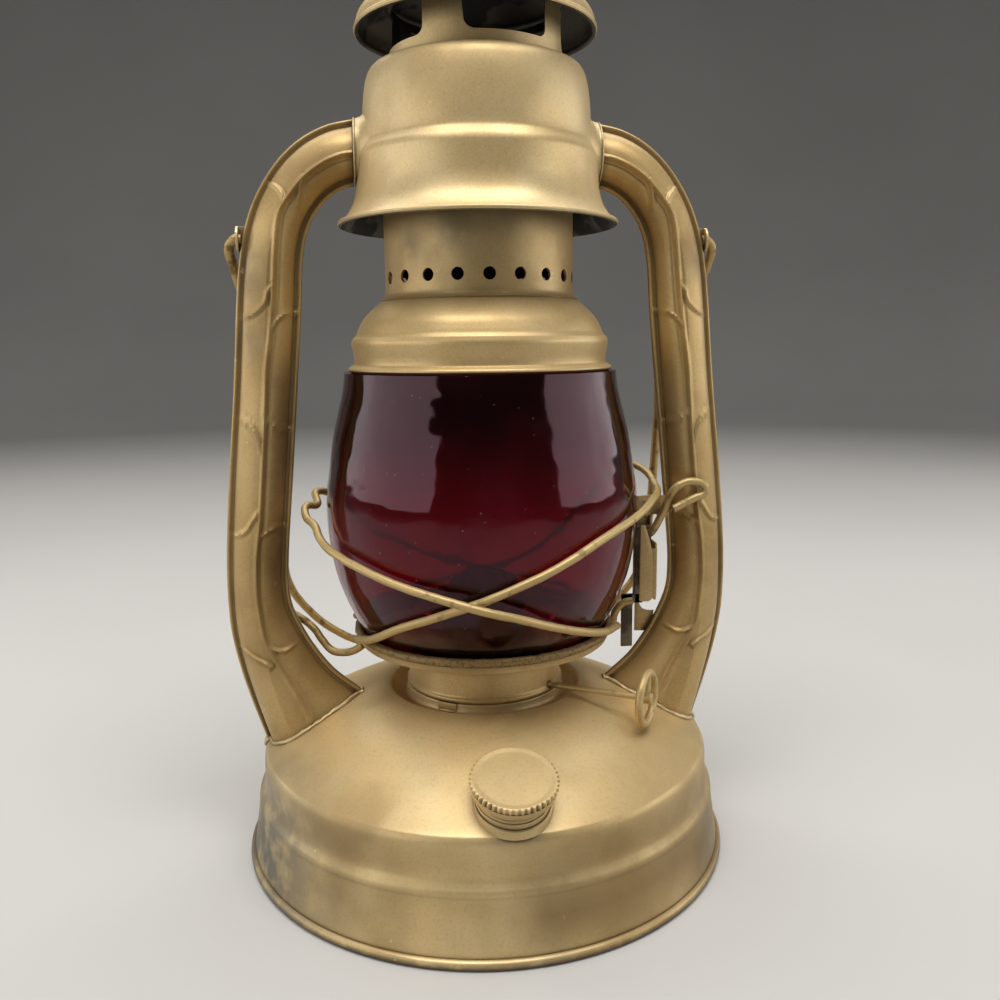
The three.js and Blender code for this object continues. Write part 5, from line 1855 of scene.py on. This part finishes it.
@dataclass(frozen=True)
class Flue:
    """The bell on the globe and the chimney tube with its row of holes.

    Attributes:
        bell_radius: the bell's middle radius.
        bell_foot: its lower edge.
        bell_height: its height.
        shares: its outline as shares of the radius and of the height.
        tube: the chimney's radius.
        holes: the number of vent holes.
        hole_height: the height of their centres.
        coil: the bell spring's radius.
        coil_steps: the number of steps along the spring, ten to a turn.
        coil_foot: the height where it starts.
        coil_rise: its height.
    """

    bell_radius: float = 43.5
    bell_foot: float = 168.0
    bell_height: float = 24.0
    shares: tuple[tuple[float, float], ...] = (
        (0.991, 0.1), (0.988, 0.19), (1, 0.31), (1.005, 0.4), (0.996, 0.455),
    )
    tube: float = 31.7
    holes: int = 20
    hole_height: float = 198.4
    coil: float = 29.5
    coil_steps: int = 35
    coil_foot: float = 241.1
    coil_rise: float = 10.9

    def build(self, finishes: FinishSet) -> None:
        """Makes the bell, the pierced chimney tube and the spring.

        Args:
            finishes: the finishes.
        """
        sides = [(self.bell_radius * r, self.bell_foot + self.bell_height * h) for r, h in self.shares]
        rim = [(44.5, 168.0), (45.0, 168.6), (44.7, 169.4), (43.9, 169.9), (43.6, 170.1)]
        dome = [(42.55, 179.55), (42.0, 180.3), (41.3, 181.9), (39.9, 184.7), (37.1, 187.9), (34.0, 190.6)]
        skin = outline(
            [*rim, *sides],
            [sides[-1], (42.75, 179.3), dome[0]],
            [*dome, (32.4, 191.6), (30.9, 192.0)],
            [(30.9, 192.0), (30.6, 192.4), (30.6, 194.5)],
        )
        bell = spun(sheet_section(skin, 0.7))
        place_piece("bell_pressed", bell, Body.CHIMNEY, finishes.flue, ["bell"], soot_and_shade_lining=finishes.soot)
        wall = outline(
            [(33.3, 191.75), (32.5, 192.3), (31.95, 193.3), (31.72, 195.0), (self.tube, 198.0)],
            [(self.tube, 198.0), (self.tube, 216.0), (self.tube, 239.3)],
            [(self.tube, 239.3), (31.5, 239.8), (31.0, 240.0), (29.3, 240.0)],
        )
        rods = []
        for i in range(self.holes // 2):
            aim = about("Z", 360 / self.holes * i)
            rods.append(turned(rod(2.0, -38.0, 38.0, 24), about("Y", 90), aim, shifted(0.0, 0.0, self.hole_height)))
        mesh = cut(spun(sheet_section(wall)), *rods)
        nodes = ["chimney_tube"]
        place_piece("chimney_pierced", mesh, Body.CHIMNEY, finishes.flue, nodes, soot_and_shade_lining=finishes.soot)
        # The coil is as short as the raised bell presses it, so that it stays in the hood when the bell rises.
        turns = []
        for i in range(self.coil_steps + 1):
            angle = math.radians(36 * i)
            height = self.coil_foot + self.coil_rise * i / self.coil_steps
            turns.append((self.coil * math.cos(angle), self.coil * math.sin(angle), height))
        coil = swept(turns, 0.8)
        place_piece("bell_spring_coil", coil, Body.CHIMNEY, finishes.soot, ["bell_spring"])


@dataclass(frozen=True)
class Bail:
    """The wire handle that hangs behind the lantern.

    Attributes:
        wire: the wire's radius.
        pivot: the pivots' distance in Y and height.
        drop: the length from the pivots to its middle.
        tilt: how far it leans back, in degrees.
        leg: below the hook, the distance from the axis and the drop.
        belly: the arc's greatest half width.
        arc_shares: the arc as shares of the belly and of its drop.
    """

    wire: float = 1.65
    pivot: tuple[float, float] = (0.5, 211.5)
    drop: float = 192.0
    tilt: float = 24.77
    leg: tuple[tuple[float, float], ...] = (
        (78.22, 0.0), (79.92, 0.0), (80.99, 0.74), (82.23, 2.48), (81.89, 8.25), (79.31, 19.8),
        (76.05, 31.35), (71.0, 49.5), (72.68, 72.6),
    )
    belly: float = 76.3
    arc_shares: tuple[tuple[float, float], ...] = (
        (0.987, 0), (1, 0.27), (0.982, 0.46), (0.9, 0.623), (0.7575, 0.78), (0.592, 0.88), (0.33, 0.965),
    )

    def build(self, finishes: FinishSet) -> None:
        """Makes the bail with a hook at each end.

        Args:
            finishes: the finishes.
        """
        half = [*self.leg, *((self.belly * out, self.drop - 83.0 * (1 - down)) for out, down in self.arc_shares)]
        line = [(x, 0.0, -drop) for x, drop in half] + [(0.0, 0.0, -self.drop)]
        line += [(-x, 0.0, -drop) for x, drop in half[::-1]]
        mesh = turned(swept(line, self.wire, lumps=0.08), about("X", self.tilt), shifted(0.0, *self.pivot))
        place_piece("bail_wire", mesh, Body.BAIL, finishes.bail_wire, ["bail"])


@dataclass(frozen=True)
class Studio:
    """The plain pale floor and backdrop, the soft lights and the camera.

    Attributes:
        camera_place: the camera's place in millimetres.
        yaw: its turn from +Y towards +X, in degrees.
        pitch: how far it looks down, in degrees.
        roll: its roll, in degrees.
        lens: its focal length on a 36 mm sensor.
        floor: the flat floor's radius in metres.
        curve: the radius of the curve from the floor to the wall.
        wall: the wall's height.
    """

    camera_place: tuple[float, float, float] = (-33.5, -318.5, 178.2)
    yaw: float = 7.136
    pitch: float = 9.917
    roll: float = -0.619
    lens: float = 33.01
    floor: float = 1.7
    curve: float = 0.6
    wall: float = 3.0

    def camera(self) -> None:
        """Sets the camera at the photograph's angle."""
        data = bpy.data.cameras.new("camera")
        data.lens = self.lens
        data.sensor_width = 36.0
        data.clip_start = 0.01
        data.clip_end = 20.0
        yaw, pitch, roll = (math.radians(angle) for angle in (self.yaw, self.pitch, self.roll))
        forward = Vector((math.sin(yaw) * math.cos(pitch), math.cos(yaw) * math.cos(pitch), -math.sin(pitch)))
        right = Vector((math.cos(yaw), -math.sin(yaw), 0.0))
        up = right.cross(forward)
        right, up = right * math.cos(roll) + up * math.sin(roll), up * math.cos(roll) - right * math.sin(roll)
        place = Matrix((right, up, -forward)).transposed().to_4x4()
        place.translation = Vector(self.camera_place) * MM
        camera = new_object("camera", data)
        camera.matrix_world = place
        bpy.context.scene.camera = camera

    def light(self, name: str, place: Point, aim: Point, size: tuple[float, float], power: float) -> None:
        """Adds a soft area light.

        Args:
            name: its name.
            place: its place in metres.
            aim: the point that it faces.
            size: its width and height in metres.
            power: its power in watts.
        """
        data = bpy.data.lights.new(name, "AREA")
        data.shape = "RECTANGLE"
        data.size, data.size_y = size
        data.energy = power
        lamp = new_object(name, data)
        lamp.location = place
        lamp.rotation_euler = (Vector(aim) - Vector(place)).to_track_quat("-Z", "Y").to_euler()

    def surround(self) -> None:
        """Makes the round floor that curves up into a backdrop on every side, and the world."""
        material, tree = new_tree("matte_pale_card")
        place = add_node(tree, "ShaderNodeTexCoord").outputs["Object"]
        pale = mixed(tree, noise_factor(tree, place, 400.0, 0.3, 0.7), "#bfbcb7", "#c4c1bc")
        # Seen straight, in metal or through glass the card is pale; the light that it throws back is a grey card's.
        ray = add_node(tree, "ShaderNodeLightPath").outputs
        seen = ray["Is Camera Ray"]
        for kind in ("Is Glossy Ray", "Is Transmission Ray"):
            seen = add_node(tree, "ShaderNodeMath", {"operation": "MAXIMUM"}, {0: seen, 1: ray[kind]}).outputs[0]
        finished(material, {"Roughness": 0.85}, {"Base Color": mixed(tree, seen, "#6f6d6a", pale)})
        mesh = bmesh.new()
        section = [(0.0, 0.0), (self.floor, 0.0)]
        for angle in (0.3, 0.6, 0.9, 1.2, 1.4):
            section.append((self.floor + self.curve * math.sin(angle), self.curve * (1 - math.cos(angle))))
        section += [(self.floor + self.curve, self.curve), (self.floor + self.curve, self.wall)]
        corners = [mesh.verts.new((radius, 0.0, height)) for radius, height in section]
        edges = [mesh.edges.new(pair) for pair in zip(corners, corners[1:])]
        bmesh.ops.spin(
            mesh, geom=corners + edges, cent=(0, 0, 0), axis=(0, 0, 1), angle=math.tau, steps=96, use_merge=True
        )
        bmesh.ops.remove_doubles(mesh, verts=mesh.verts, dist=0.001)
        bmesh.ops.recalc_face_normals(mesh, faces=mesh.faces)
        data = mesh_data("sweep", mesh)
        data.materials.append(material)
        data.shade_smooth()
        new_object("sweep", data)
        world = bpy.data.worlds.new("soft_room")
        world.use_nodes = True
        world.node_tree.nodes.clear()
        glow = add_node(world.node_tree, "ShaderNodeBackground", {"Color": linear("#e8e8ea"), "Strength": 0.12})
        add_node(world.node_tree, "ShaderNodeOutputWorld", links={"Surface": glow.outputs["Background"]})
        bpy.context.scene.world = world
        bpy.context.scene.view_settings.view_transform = "Standard"

    def build(self) -> None:
        """Makes the surround, the lights and the camera."""
        self.surround()
        middle = (0.0, 0.0, 0.14)
        self.light("left_softbox", (-0.9, -0.12, 0.36), middle, (1.7, 0.45), 4.6)
        self.light("right_softbox", (0.95, -0.15, 0.36), middle, (1.3, 0.45), 3.8)
        self.light("high_front_softbox", (0.0, -0.34, 1.15), middle, (1.2, 0.5), 12.5)
        self.light("high_back_softbox", (0.0, 0.5, 1.1), middle, (1.4, 0.7), 8.0)
        self.camera()


def main() -> None:
    """Builds the lantern's sub-assemblies in order, then the studio."""
    logging.basicConfig(level=logging.INFO, format="%(name)s: %(message)s")
    finishes = FinishSet.build()
    Fount().build(finishes)
    Filler().build(finishes)
    Burner().build(finishes)
    Globe().build(finishes)
    Carrier().build(finishes)
    heights: dict[tuple[int, int], float] = {}
    for side in Side:
        SideTube(side).build(finishes, heights)
    LiftWork().build(finishes)
    Head().build(finishes)
    Flue().build(finishes)
    Bail().build(finishes)
    Studio().build()


if __name__ == "__main__":
    main()
